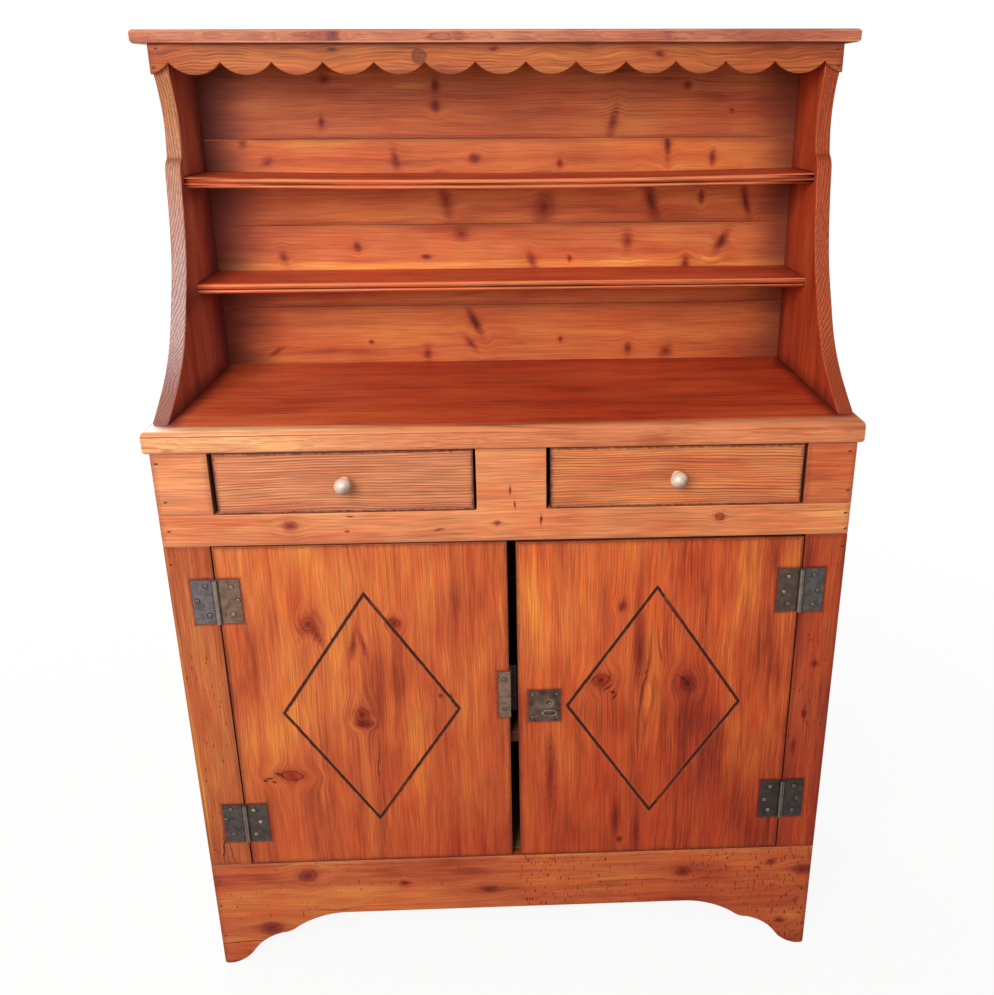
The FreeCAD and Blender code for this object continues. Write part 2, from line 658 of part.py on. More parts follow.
def knob(x, z):
    """Turned knob: head with bevelled rings, neck, base disc, and a shank into the front."""
    front = -KNOB_OUT
    head = [(KNOB_R * share_r, front + KNOB_HEAD_L * share_l) for share_r, share_l in KNOB_HEAD_SHARES]
    rest = [
        (KNOB_NECK_R, front + KNOB_HEAD_L),
        (KNOB_NECK_R, -KNOB_BASE_T),
        (KNOB_BASE_R, -KNOB_BASE_T),
        (KNOB_BASE_R, 0),
        (KNOB_SHANK_R, 0),
        (KNOB_SHANK_R, KNOB_SHANK_L),
        (0, KNOB_SHANK_L),
    ]
    points = [V(x + r, y, z) for r, y in [(0, front)] + head + rest]
    section = Part.Face(Part.makePolygon(points + points[:1]))
    return section.revolve(V(x, 0, z), V(0, 1, 0), 360)


def write_drawer(name, x0):
    left, right = drawer_side_faces(x0)
    knob_x = x0 + DRAWER_FRONT_W / 2
    knob_z = DRAWER_Z + DRAWER_OPENING_H / 2
    write(name + "_drawer_front", drawer_front(x0, knob_x, knob_z))
    write(name + "_drawer_side_left", drawer_side(left, 1))
    write(name + "_drawer_side_right", drawer_side(right, -1))
    write(name + "_drawer_back", drawer_back(x0))
    write(name + "_drawer_bottom", drawer_bottom(x0))
    write(name + "_drawer_knob", knob(knob_x, knob_z))


# Hinges


def knuckle_spans():
    """Lower and upper end of each knuckle of a hinge, measured from its middle, with gaps between them."""
    length = (LEAF_H - KNUCKLE_GAP * (KNUCKLE_COUNT - 1)) / KNUCKLE_COUNT
    lows = [-LEAF_H / 2 + (length + KNUCKLE_GAP) * i for i in range(KNUCKLE_COUNT)]
    return [(low, low + length) for low in lows]


def leaf(axis_x, z, outward, first_knuckle):
    """Leaf lying on the face, its knuckles rolled round the pin; outward is the sign away from the pin."""
    near = axis_x + outward * (BARREL_R + BARREL_SIDE_GAP)
    far = axis_x + outward * LEAF_W
    xs = sorted((near, far))
    plate = box(xs[0], xs[1], -LEAF_T, 0, z - LEAF_H / 2, z + LEAF_H / 2)
    tongue_xs = sorted((axis_x, near))
    solids = []
    for low, high in knuckle_spans()[first_knuckle::2]:
        solids.append(rod(BARREL_R, high - low, V(axis_x, HINGE_Y, z + low), V(0, 0, 1)))
        solids.append(box(tongue_xs[0], tongue_xs[1], -LEAF_T, -BARREL_LIFT, z + low, z + high))
    joined = plate.fuse(solids).removeSplitter()
    return joined.cut(rod(PIN_R + PIN_FIT, LEAF_H + 2 * OVERRUN, V(axis_x, HINGE_Y, z - LEAF_H / 2 - OVERRUN),
                          V(0, 0, 1)))


def hinge_pin(axis_x, z):
    return rod(PIN_R, LEAF_H, V(axis_x, HINGE_Y, z - LEAF_H / 2), V(0, 0, 1))


HINGES = (
    (LEFT_HINGE_X, UPPER_LEFT_HINGE_Z, -1),
    (LEFT_HINGE_X, LOWER_LEFT_HINGE_Z, -1),
    (RIGHT_HINGE_X, UPPER_RIGHT_HINGE_Z, 1),
    (RIGHT_HINGE_X, LOWER_RIGHT_HINGE_Z, 1),
)


def write_hinges():
    write("frame_hinge_leaves", Part.makeCompound([leaf(x, z, out, 0) for x, z, out in HINGES]))
    left_leaves = [leaf(x, z, 1, 1) for x, z, out in HINGES if out < 0]
    right_leaves = [leaf(x, z, -1, 1) for x, z, out in HINGES if out > 0]
    write("left_door_hinge_leaves", Part.makeCompound(left_leaves))
    write("right_door_hinge_leaves", Part.makeCompound(right_leaves))
    write("hinge_pins", Part.makeCompound([hinge_pin(x, z) for x, z, out in HINGES]))


# Doors


def lozenge_wire(x, z, grow, y):
    """Lozenge outline set out or in by this much at right angles to its sides."""
    slant = math.hypot(LOZENGE_HALF_W, LOZENGE_HALF_H)
    wide = LOZENGE_HALF_W + grow * slant / LOZENGE_HALF_H
    tall = LOZENGE_HALF_H + grow * slant / LOZENGE_HALF_W
    points = [V(x, y, z + tall), V(x + wide, y, z), V(x, y, z - tall), V(x - wide, y, z)]
    return Part.makePolygon(points + points[:1])


def lozenge_groove(x, z):
    """The V-shaped groove cut round a lozenge, as a solid to take away."""
    spread = (GROOVE_W / 2) * (GROOVE_D + OVERRUN) / GROOVE_D
    bottom = lozenge_wire(x, z, 0, GROOVE_D)
    outer = Part.makeLoft([lozenge_wire(x, z, spread, -OVERRUN), bottom], True, True)
    inner = Part.makeLoft([lozenge_wire(x, z, -spread, -OVERRUN), bottom], True, True)
    return outer.cut(inner)


def ledge(x0, x1, z):
    """Ledge across the back of a door, bevelled along its rear edges."""
    bar = box(x0, x1, FRONT_T, FRONT_T + LEDGE_T, z - LEDGE_W / 2, z + LEDGE_W / 2)
    rear = [e for e in bar.Edges if abs(e.BoundBox.YMin - FRONT_T - LEDGE_T) < JOINT_FIT
            and e.BoundBox.XLength > LEDGE_W]
    return bar.makeChamfer(LEDGE_BEVEL, rear)


def door_boards(x0, x1, seam, lozenge_x, top):
    """The two upright boards of a door, with the lozenge cut across their joint."""
    groove = lozenge_groove(lozenge_x, (PLINTH_H + RAIL_Z) / 2 + LOZENGE_UP)
    boards = []
    for a, b in ((x0, seam - SEAM_GAP / 2), (seam + SEAM_GAP / 2, x1)):
        boards.append(box(a, b, 0, FRONT_T, DOOR_Z0, top).cut(groove))
    return boards


def write_left_door():
    middle = (LEFT_DOOR_X0 + LEFT_DOOR_X1) / 2
    outer, inner = door_boards(LEFT_DOOR_X0, LEFT_DOOR_X1, middle + DOOR_SEAM_OFF, middle,
                               RAIL_Z - LEFT_DOOR_TOP_GAP)
    thrown_tip = RIGHT_DOOR_X0 + BOLT_TIP_GAP - BOLT_THROW
    inner = inner.cut(bolt_way(thrown_tip - BOLT_END_CLEAR, LEFT_DOOR_X1 + OVERRUN))
    write("left_door_board_outer", outer)
    write("left_door_board_inner", inner)
    write("left_door_ledges", Part.makeCompound(
        [ledge(LEFT_DOOR_X0 + LEDGE_END_GAP, LEFT_DOOR_X1 - LEDGE_END_GAP, z) for z in ledge_heights()]))
    write("lock_keep", lock_keep())


def write_right_door():
    middle = (RIGHT_DOOR_X0 + RIGHT_DOOR_X1) / 2
    inner, outer = door_boards(RIGHT_DOOR_X0, RIGHT_DOOR_X1, middle + DOOR_SEAM_OFF,
                               middle + RIGHT_LOZENGE_SHIFT, RAIL_Z - RIGHT_DOOR_TOP_GAP)
    x0, x1, z0, z1 = lock_case_sides()
    inner = inner.cut(box(x0 - JOINT_FIT, x1 + JOINT_FIT, -OVERRUN, LOCK_CASE_T + JOINT_FIT,
                          z0 - JOINT_FIT, z1 + JOINT_FIT))
    inner = inner.cut(bolt_way(RIGHT_DOOR_X0 - OVERRUN, x0 + OVERRUN))
    write("right_door_board_outer", outer)
    write("right_door_board_inner", inner)
    write("right_door_ledges", Part.makeCompound(
        [ledge(RIGHT_DOOR_X0 + LEDGE_END_GAP, RIGHT_DOOR_X1 - LEDGE_END_GAP, z) for z in ledge_heights()]))
    write("lock_plate", lock_plate())
    write("lock_case", lock_case())
    write("lock_bolt", lock_bolt())
    write("ring_pull", ring_pull())


def ledge_heights():
    return (DOOR_Z0 + LEDGE_MARGIN, RAIL_Z - LEDGE_MARGIN)


# Lock


def bolt_way(x0, x1):
    """Passage that the bolt slides in, with its clearance."""
    return box(x0, x1, BOLT_Y - BOLT_T / 2 - BOLT_FIT, BOLT_Y + BOLT_T / 2 + BOLT_FIT,
               BOLT_Z - BOLT_H / 2 - BOLT_FIT, BOLT_Z + BOLT_H / 2 + BOLT_FIT)


def lock_keep():
    """Keep bent from one strip: flange on the door's face, web on its edge, lip across the gap behind."""
    z1 = KEEP_LOW_Z + KEEP_H
    edge = LEFT_DOOR_X1
    flange = box(edge - KEEP_FLANGE_W, edge + KEEP_T, -KEEP_T, 0, KEEP_LOW_Z, z1)
    corners = [e for e in flange.Edges if e.BoundBox.XMax < edge and e.BoundBox.ZLength < KEEP_T
               and e.BoundBox.XLength < KEEP_T]
    flange = flange.makeFillet(KEEP_ROUND, corners)
    web = box(edge, edge + KEEP_T, 0, FRONT_T, KEEP_LOW_Z, z1)
    lip = box(edge, RIGHT_DOOR_X0 - KEEP_LIP_GAP, FRONT_T - KEEP_T, FRONT_T, KEEP_LOW_Z, z1)
    keep = flange.fuse([web, lip]).removeSplitter()
    return keep.cut(bolt_way(edge - OVERRUN, edge + OVERRUN))


def lock_plate():
    """Square plate with a round boss, its recess and pin, and the barrel that carries the drop loop."""
    plate = box(PLATE_X, PLATE_X + PLATE_W, -PLATE_T, 0, PLATE_Z, PLATE_Z + PLATE_H)
    corners = [e for e in plate.Edges if e.BoundBox.YLength > PLATE_T / 2]
    plate = plate.makeFillet(PLATE_CORNER_R, corners)
    front = -PLATE_T - BOSS_T
    boss = rod(BOSS_R, BOSS_T + PLATE_T / 2, V(BOSS_X, front, BOSS_Z), V(0, 1, 0))
    recess = rod(BOSS_RECESS_R, BOSS_RECESS_D + OVERRUN, V(BOSS_X, front - OVERRUN, BOSS_Z), V(0, 1, 0))
    pin = rod(BOSS_PIN_R, BOSS_T + PLATE_T / 2, V(BOSS_X, front, BOSS_Z), V(0, 1, 0))
    barrel = rod(LUG_R, LUG_L, V(BOSS_X - LUG_L / 2, -LUG_OUT, LUG_Z), V(1, 0, 0))
    web = box(BOSS_X - LUG_L / 2, BOSS_X + LUG_L / 2, -LUG_OUT, -PLATE_T / 2,
              LUG_Z - LUG_WEB_T / 2, LUG_Z + LUG_WEB_T / 2)
    body = plate.fuse([boss.cut(recess), pin, barrel, web]).removeSplitter()
    return body.cut(rod(LOOP_SPINDLE_R + PIN_FIT, LUG_L + 2 * OVERRUN,
                        V(BOSS_X - LUG_L / 2 - OVERRUN, -LUG_OUT, LUG_Z), V(1, 0, 0)))


def lock_case_sides():
    """The case lies well inside the plate that covers it."""
    return (PLATE_X + CASE_INSET, PLATE_X + PLATE_W - CASE_INSET,
            PLATE_Z + CASE_INSET, PLATE_Z + PLATE_H - CASE_INSET)


def lock_case():
    """Box let into the door behind the plate, with the way for the bolt."""
    x0, x1, z0, z1 = lock_case_sides()
    case = box(x0, x1, 0, LOCK_CASE_T, z0, z1)
    return case.cut(bolt_way(x0 - OVERRUN, RIGHT_DOOR_X0 + BOLT_TIP_GAP + BOLT_L + BOLT_FIT))


def lock_bolt():
    x0 = RIGHT_DOOR_X0 + BOLT_TIP_GAP
    return box(x0, x0 + BOLT_L, BOLT_Y - BOLT_T / 2, BOLT_Y + BOLT_T / 2,
               BOLT_Z - BOLT_H / 2, BOLT_Z + BOLT_H / 2)


def loop_oval(radius):
    """Slab of bar thickness with this bend radius, in the loop's own plane."""
    y = -LUG_OUT - LOOP_BAR / 2
    mid = LUG_Z - LOOP_BEND_R
    right = BOSS_X + LOOP_STRAIGHT / 2
    left = BOSS_X - LOOP_STRAIGHT / 2
    edges = [
        line(V(left, y, mid + radius), V(right, y, mid + radius)),
        arc(V(right, y, mid + radius), V(right + radius, y, mid), V(right, y, mid - radius)),
        line(V(right, y, mid - radius), V(left, y, mid - radius)),
        arc(V(left, y, mid - radius), V(left - radius, y, mid), V(left, y, mid + radius)),
    ]
    return board_from_edges(edges, V(0, LOOP_BAR, 0))


def ring_pull():
    """Oval loop forged from square bar, its upper run round where it turns in the plate's barrel."""
    loop = loop_oval(LOOP_BEND_R + LOOP_BAR / 2).cut(loop_oval(LOOP_BEND_R - LOOP_BAR / 2))
    reach = LUG_L / 2 + LUG_END_GAP
    loop = loop.cut(box(BOSS_X - reach, BOSS_X + reach, -LUG_OUT - LOOP_BAR, -LUG_OUT + LOOP_BAR,
                        LUG_Z - LOOP_BAR, LUG_Z + LOOP_BAR))
    return loop.fuse(rod(LOOP_SPINDLE_R, 2 * reach, V(BOSS_X - reach, -LUG_OUT, LUG_Z), V(1, 0, 0)))


def write_frame():
    write("plinth_board", plinth_board())
    write("stile_left", stile(-HALF_W, LEFT_STILE_X))
    write("stile_right", stile(RIGHT_STILE_X, HALF_W))
    write("drawer_rail", drawer_rail())
    write("drawer_post_left", drawer_post(-1))
    write("drawer_post_right", drawer_post(1))
    write("base_side_left", base_side(-1))
    write("base_side_right", base_side(1))
    write("bottom_board", bottom_board())
    write("inner_shelf", inner_shelf())
    write("shelf_cleats", shelf_cleats())
    write("drawer_runner_left", runner_left())
    write("drawer_runner_centre", runner_centre())
    write("drawer_runner_right", runner_right())
    for i in range(BASE_PLANK_COUNT):
        write("base_back_plank_" + str(i + 1), base_plank(i))
    write("counter_top", counter_top())


def write_rack():
    write("rack_side_left", rack_side(-1))
    write("rack_side_right", rack_side(1))
    write("rack_shelf_lower", straight_shelf(LOWER_SHELF_Z))
    write("rack_shelf_upper", sunken_shelf(UPPER_SHELF_Z, UPPER_SHELF_SAG))
    for i in range(RACK_PLANK_COUNT):
        write("rack_back_plank_" + str(i + 1), rack_plank(i))
    write("valance", valance())
    write("cornice_board", cornice_board())


os.makedirs("parts", exist_ok=True)
write_frame()
write_rack()
write_drawer("left", left_front_x())
write_drawer("right", right_front_x())
write_hinges()
write_left_door()
write_right_door()
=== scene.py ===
"""Stained pine dresser with an open plate rack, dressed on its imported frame."""

import json
import math
from functools import partial

import bpy
from bpy.props import FloatProperty, FloatVectorProperty, PointerProperty
from mathutils import Matrix, Vector

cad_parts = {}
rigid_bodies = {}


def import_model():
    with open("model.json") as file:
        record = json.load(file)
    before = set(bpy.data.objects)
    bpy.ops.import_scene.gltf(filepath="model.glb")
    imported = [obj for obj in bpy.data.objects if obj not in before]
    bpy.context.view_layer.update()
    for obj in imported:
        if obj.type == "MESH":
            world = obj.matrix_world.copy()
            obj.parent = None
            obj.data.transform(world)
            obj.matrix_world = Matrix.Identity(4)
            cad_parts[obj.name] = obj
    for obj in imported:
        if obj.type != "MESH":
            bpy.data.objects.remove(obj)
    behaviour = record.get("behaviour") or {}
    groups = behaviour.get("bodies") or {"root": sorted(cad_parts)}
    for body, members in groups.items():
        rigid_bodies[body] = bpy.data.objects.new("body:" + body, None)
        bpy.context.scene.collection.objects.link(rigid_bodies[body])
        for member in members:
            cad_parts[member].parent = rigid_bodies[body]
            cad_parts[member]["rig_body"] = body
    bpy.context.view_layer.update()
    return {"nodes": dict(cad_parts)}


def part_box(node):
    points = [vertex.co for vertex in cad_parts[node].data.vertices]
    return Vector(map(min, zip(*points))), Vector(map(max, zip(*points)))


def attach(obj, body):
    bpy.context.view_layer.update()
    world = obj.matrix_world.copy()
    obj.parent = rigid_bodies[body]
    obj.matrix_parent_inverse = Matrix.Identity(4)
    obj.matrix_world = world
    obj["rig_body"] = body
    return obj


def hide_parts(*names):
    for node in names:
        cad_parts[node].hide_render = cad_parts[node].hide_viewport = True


bl_info = {
    "name": "Pine Dresser",
    "version": (1, 0, 0),
    "blender": (4, 5, 0),
    "location": "View3D > Sidebar > Dresser",
    "description": "Builds the boards, irons, knobs and stage of a stained pine dresser",
    "category": "Object",
}

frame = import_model()

MM = 0.001
WELD = 0.01 * MM
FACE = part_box("stile_left")[0].y  # front face of the case
LEAF_FACE = FACE - 1.8 * MM  # outer faces of the hinge leaves
PLATE_FACE = FACE - 1.6 * MM  # outer face of the lock plate


def linear(code):
    """Turns an sRGB hex colour to the linear values that shaders use."""
    parts = [int(code[i:i + 2], 16) / 255 for i in (1, 3, 5)]
    return tuple(p / 12.92 if p <= 0.04045 else ((p + 0.055) / 1.055) ** 2.4 for p in parts)


def toned(colour, factors):
    """The colour with each of its channels multiplied, opaque."""
    if isinstance(factors, (int, float)):
        factors = (factors,) * 3
    return (*(min(1.0, c * f) for c, f in zip(colour, factors)), 1.0)


# Sizes and colours that can be changed


def length(name, description, millimetres):
    return FloatProperty(name=name, description=description, default=millimetres * MM, min=0, unit="LENGTH")


def colour(name, description, code):
    return FloatVectorProperty(name=name, description=description, default=linear(code), subtype="COLOR",
                               size=3, min=0, max=1)


class DresserWood(bpy.types.PropertyGroup):
    """Stains of the boards and the wear of their corners."""

    ease: length("Eased corners", "How far the corners of a board are worn round", 1.5)
    fibre: length("Fibre width", "Width of a narrow streak of fibres", 3.2)
    amber: colour("Amber stain", "Drawer fronts, posts, rail and the counter's nose", "#D68A52")
    orange: colour("Orange stain", "Doors, plinth, left stile and the rack's back", "#C96A34")
    russet: colour("Russet stain", "Shelves, the right stile and the counter's top", "#B0502A")
    umber: colour("Umber stain", "Inner faces of the rack", "#9A4A26")
    tan: colour("Tan edge", "Sawn front edges of the rack's sides", "#BC8254")
    raw: colour("Unstained pine", "Boards inside and behind", "#BE8C64")
    # Colour of soiling, also used for the painted shade in the lozenge grooves and by the gaps round doors and
    # drawers
    grime_and_gap_shade: colour("Grime", "Dirt and old stain in corners and dents", "#2C120C")


class DresserIron(bpy.types.PropertyGroup):
    """Metals of the hinges, the lock, the knobs, the screws and the nails."""

    iron: colour("Iron", "Browned iron of hinges and lock", "#7E6454")
    blued: colour("Blued iron", "Cooler iron of the leaves on the frame", "#6E6667")
    worn: colour("Worn iron", "Bare metal where the brown has rubbed off", "#A09080")
    rust: colour("Rust", "Brown bloom on the iron", "#3C2A1E")
    brass: colour("Brass", "Aged brass of the two knobs", "#EBD2BC")
    # Dark brown of the brass, also painted as shade on the knobs' lower right sides
    patina_and_shade: colour("Patina", "Dark bloom on the brass", "#7E5C50")
    screw_head: length("Screw head", "Radius of a screw's head", 3.3)
    screw_sink: length("Screw sink", "Radius of the dark sinking round a screw", 4.4)
    screw_slot: length("Screw slot", "Width of a screw's slot", 1.0)
    nail_head: length("Nail head", "Half width of a cut nail's head", 2.6)


class DresserStage(bpy.types.PropertyGroup):
    """Floor, light and camera."""

    floor: colour("Floor", "Pale floor", "#E4E1DC")
    key: FloatProperty(name="Key light", description="Soft light from the upper front left, in watts", default=52)
    fill: FloatProperty(name="Fill light", description="Soft light from the front right, in watts", default=15)
    window: FloatProperty(name="Window", description="Soft light from behind on the left, in watts", default=30)
    sky: FloatProperty(name="Sky", description="Level of the light from all round", default=0.32)


# Small helpers


# Inputs of the nodes used most. Mix for colours: 0 is the share, 6 the colour below, 7 the one on top.
# MapRange: the value, where its range starts and ends, and the results there, which are 0 and 1 if not given.
COVER = {"out": 2, "data_type": "RGBA"}
TINT = {**COVER, "blend_type": "MULTIPLY"}
EASED = {"interpolation_type": "SMOOTHSTEP"}


def add(tree, kind, inputs=(), out=0, stops=(), **settings):
    """Adds a node with its settings, sets or links its inputs, and gives back one of its outputs.

    kind: the node's type, and after a space its operation. inputs: in the order of the sockets, or by their
    names or numbers. stops: places and colours of a ramp."""
    kind, space, operation = kind.partition(" ")
    node = tree.nodes.new("ShaderNode" + kind)
    if operation:
        node.operation = operation
    for name, value in settings.items():
        setattr(node, name, value)
    for key, value in inputs.items() if isinstance(inputs, dict) else enumerate(inputs):
        if isinstance(value, bpy.types.NodeSocket):
            tree.links.new(value, node.inputs[key])
        else:
            node.inputs[key].default_value = value
    while stops and len(node.color_ramp.elements) < len(stops):
        node.color_ramp.elements.new(0.5)
    for i, (place, value) in enumerate(stops):
        node.color_ramp.elements[i].position = place
        node.color_ramp.elements[i].color = value if isinstance(value, tuple) else (value, value, value, 1.0)
    return node.outputs[out] if node.outputs else None


def away(put, value, centre):
    """How far a value lies from a centre, on either side of it."""
    off = put("Math SUBTRACT", (value, centre))
    return put("Math ABSOLUTE", (off,))


def new_material(name):
    """A new material and the function that adds its nodes."""
    material = bpy.data.materials.new(name)
    material.use_nodes = True
    material.node_tree.nodes.clear()
    return material, partial(add, material.node_tree)


def alone(piece):
    """Selects this piece and nothing else."""
    bpy.ops.object.select_all(action="DESELECT")
    piece.hide_set(False)
    piece.select_set(True)
    bpy.context.view_layer.objects.active = piece


def finish_with(piece, material):
    piece.data.materials.clear()
    piece.data.materials.append(material)


def dress(node, material):
    """Gives a node that stays as it is its finish."""
    mesh = frame["nodes"][node].data
    mesh.materials.clear()
    mesh.materials.append(material)


def settle(piece, name, material, body):
    """Puts a finished piece's place in its mesh, names it, gives it its finish and lets it ride."""
    alone(piece)
    bpy.ops.object.transform_apply(location=True, rotation=True, scale=True)
    piece.name = name
    piece.data.name = name
    finish_with(piece, material)
    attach(piece, body)
    return piece


def body_of(node):
    return frame["nodes"][node]["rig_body"]


# Wood


class Board:
    """How one board was sawn, stained and worn. Lengths are in mm.

    shade: factors on its stain. grain: axes along, across and through it. rings: spacing of the years. heart:
    the tree's centre, across from the board's middle and behind its face. slope: how fast the heart comes
    nearer along the board. contrast: depth of the late wood's lines. even: how much of them is left where they
    are weakest. streaks: depth of the stain's streaks. spread: how far its tones lie apart. hair: depth of the
    finest fibres. sway: how far the rings wander, and over what length. knots: place along and across, radii
    along and across, kind, tilt in degrees. scars: depth of dents. ease: share of the usual rounding of its
    corners. sharp: sides that stay sharp and clean. shaded_nooks: axis, place, reach and depth of painted shade
    in a corner or beneath a shelf. light_drift: axis, start, end and the colour factors at the end of painted
    light that falls off across the board. bands: axis, middle, half width and colour factors of a strip that is
    worn or dirty, of painted shade in a groove, or of a painted pale strip of light. irons: limits of plates that
    lie on it, round which the wood is darker from soiling and the plates' painted shadow. outline: depth of the
    dark line round it, from soiling and the painted shade of the gap beside it. bare_back: its back is
    unstained. polish: roughness of its smoothest streaks. edge: stain of faces turned to the front. beads:
    those faces get painted shade where they turn down and painted light where they turn up. foot: colour
    factors of the edge low down. outer: colour factors of a rack side's outer face. front: stain and depth of a
    strip along the front, with painted light on its upward faces.
    lozenge: middle of the groove. seed: given where boards share one plank."""

    shade = 1.0
    grain = None
    rings = 5.0
    heart = (0, 45)
    slope = 0.03
    contrast = 0.45
    streaks = 1.0
    sway = (2.0, 300)
    knots = ()
    scars = 0.0
    ease = 1.0
    sharp = ()
    shaded_nooks = ()
    light_drift = ()
    even = 0.15
    hair = 0.85
    outline = 0.0
    bare_back = False
    spread = 1.0
    polish = 0.46
    irons = ()
    bands = ()
    edge = None
    beads = False
    foot = (1, 1, 1, 1)
    outer = (1, 1, 1, 1)
    front = None
    lozenge = None
    seed = None

    def __init__(self, stain, **given):
        self.stain = stain
        for name, value in given.items():
            setattr(self, name, value)


# Middles and half diagonals of the lozenges, and limits of the irons: first and last x, first and last z
LEFT_LOZENGE = (-218.0, 496.0)
RIGHT_LOZENGE = (220.0, 496.0)
LOZENGE_HALF = (135.0, 202.0)
RACK_IN = 477.0  # inner faces of the rack's sides
RACK_BACK = 201.5  # front faces of the rack's planks
COUNTER_TOP = 954.5
LEFT_IRONS = ((-467.5, -397.5, 655, 726.5), (-467.5, -397.5, 256.5, 327.5))
RIGHT_IRONS = ((401.5, 471.5, 653.5, 724.5), (401.5, 471.5, 273.5, 344.5))
PLATE_IRON = ((25, 74, 470, 525),)
KEEP_IRON = ((-21.5, -2, 479, 560),)
# Painted shade in the rack's inner corners, on the planks
RACK_CORNER_SHADE = (("x", -RACK_IN, 105, 0.95), ("x", RACK_IN, 80, 0.8))

# On the doors the fall-off factors paint the light fading towards the bottom and the right
LEFT_DOOR = {"rings": 4.0, "heart": (-236, 15), "slope": 0.02, "contrast": 0.62, "lozenge": LEFT_LOZENGE,
    "seed": 7, "sway": (4.0, 240), "outline": 0.45, "light_drift": (("z", 620, 230, (0.88, 0.72, 0.7)),
    ("x", -200, -20, (0.92, 0.88, 0.86)))}
RIGHT_DOOR = {"rings": 4.2, "heart": (215, 13), "slope": 0.03, "contrast": 0.74, "lozenge": RIGHT_LOZENGE,
    "seed": 11, "sway": (4.0, 220), "outline": 0.45, "bands": (("x", 215, 125, (0.94, 0.8, 0.8)),),
    "light_drift": (("z", 660, 260, (0.74, 0.5, 0.46)), ("x", 100, 430, (0.9, 0.84, 0.82)))}

FRONT = {"outline": 0.75, "contrast": 1.25, "even": 0.6}
SHELF = {"shade": (1.55, 1.4, 1.8), "rings": 6, "heart": (0, 40), "contrast": 0.4, "ease": 0.0, "edge": "orange",
    "beads": True, "shaded_nooks": (("x", -RACK_IN, 45, 0.5), ("x", RACK_IN, 45, 0.5), ("y", RACK_BACK, 30, 0.3))}
PLANK = {"rings": 6, "contrast": 0.4, "hair": 0.5, "streaks": 0.9, "shaded_nooks": RACK_CORNER_SHADE}
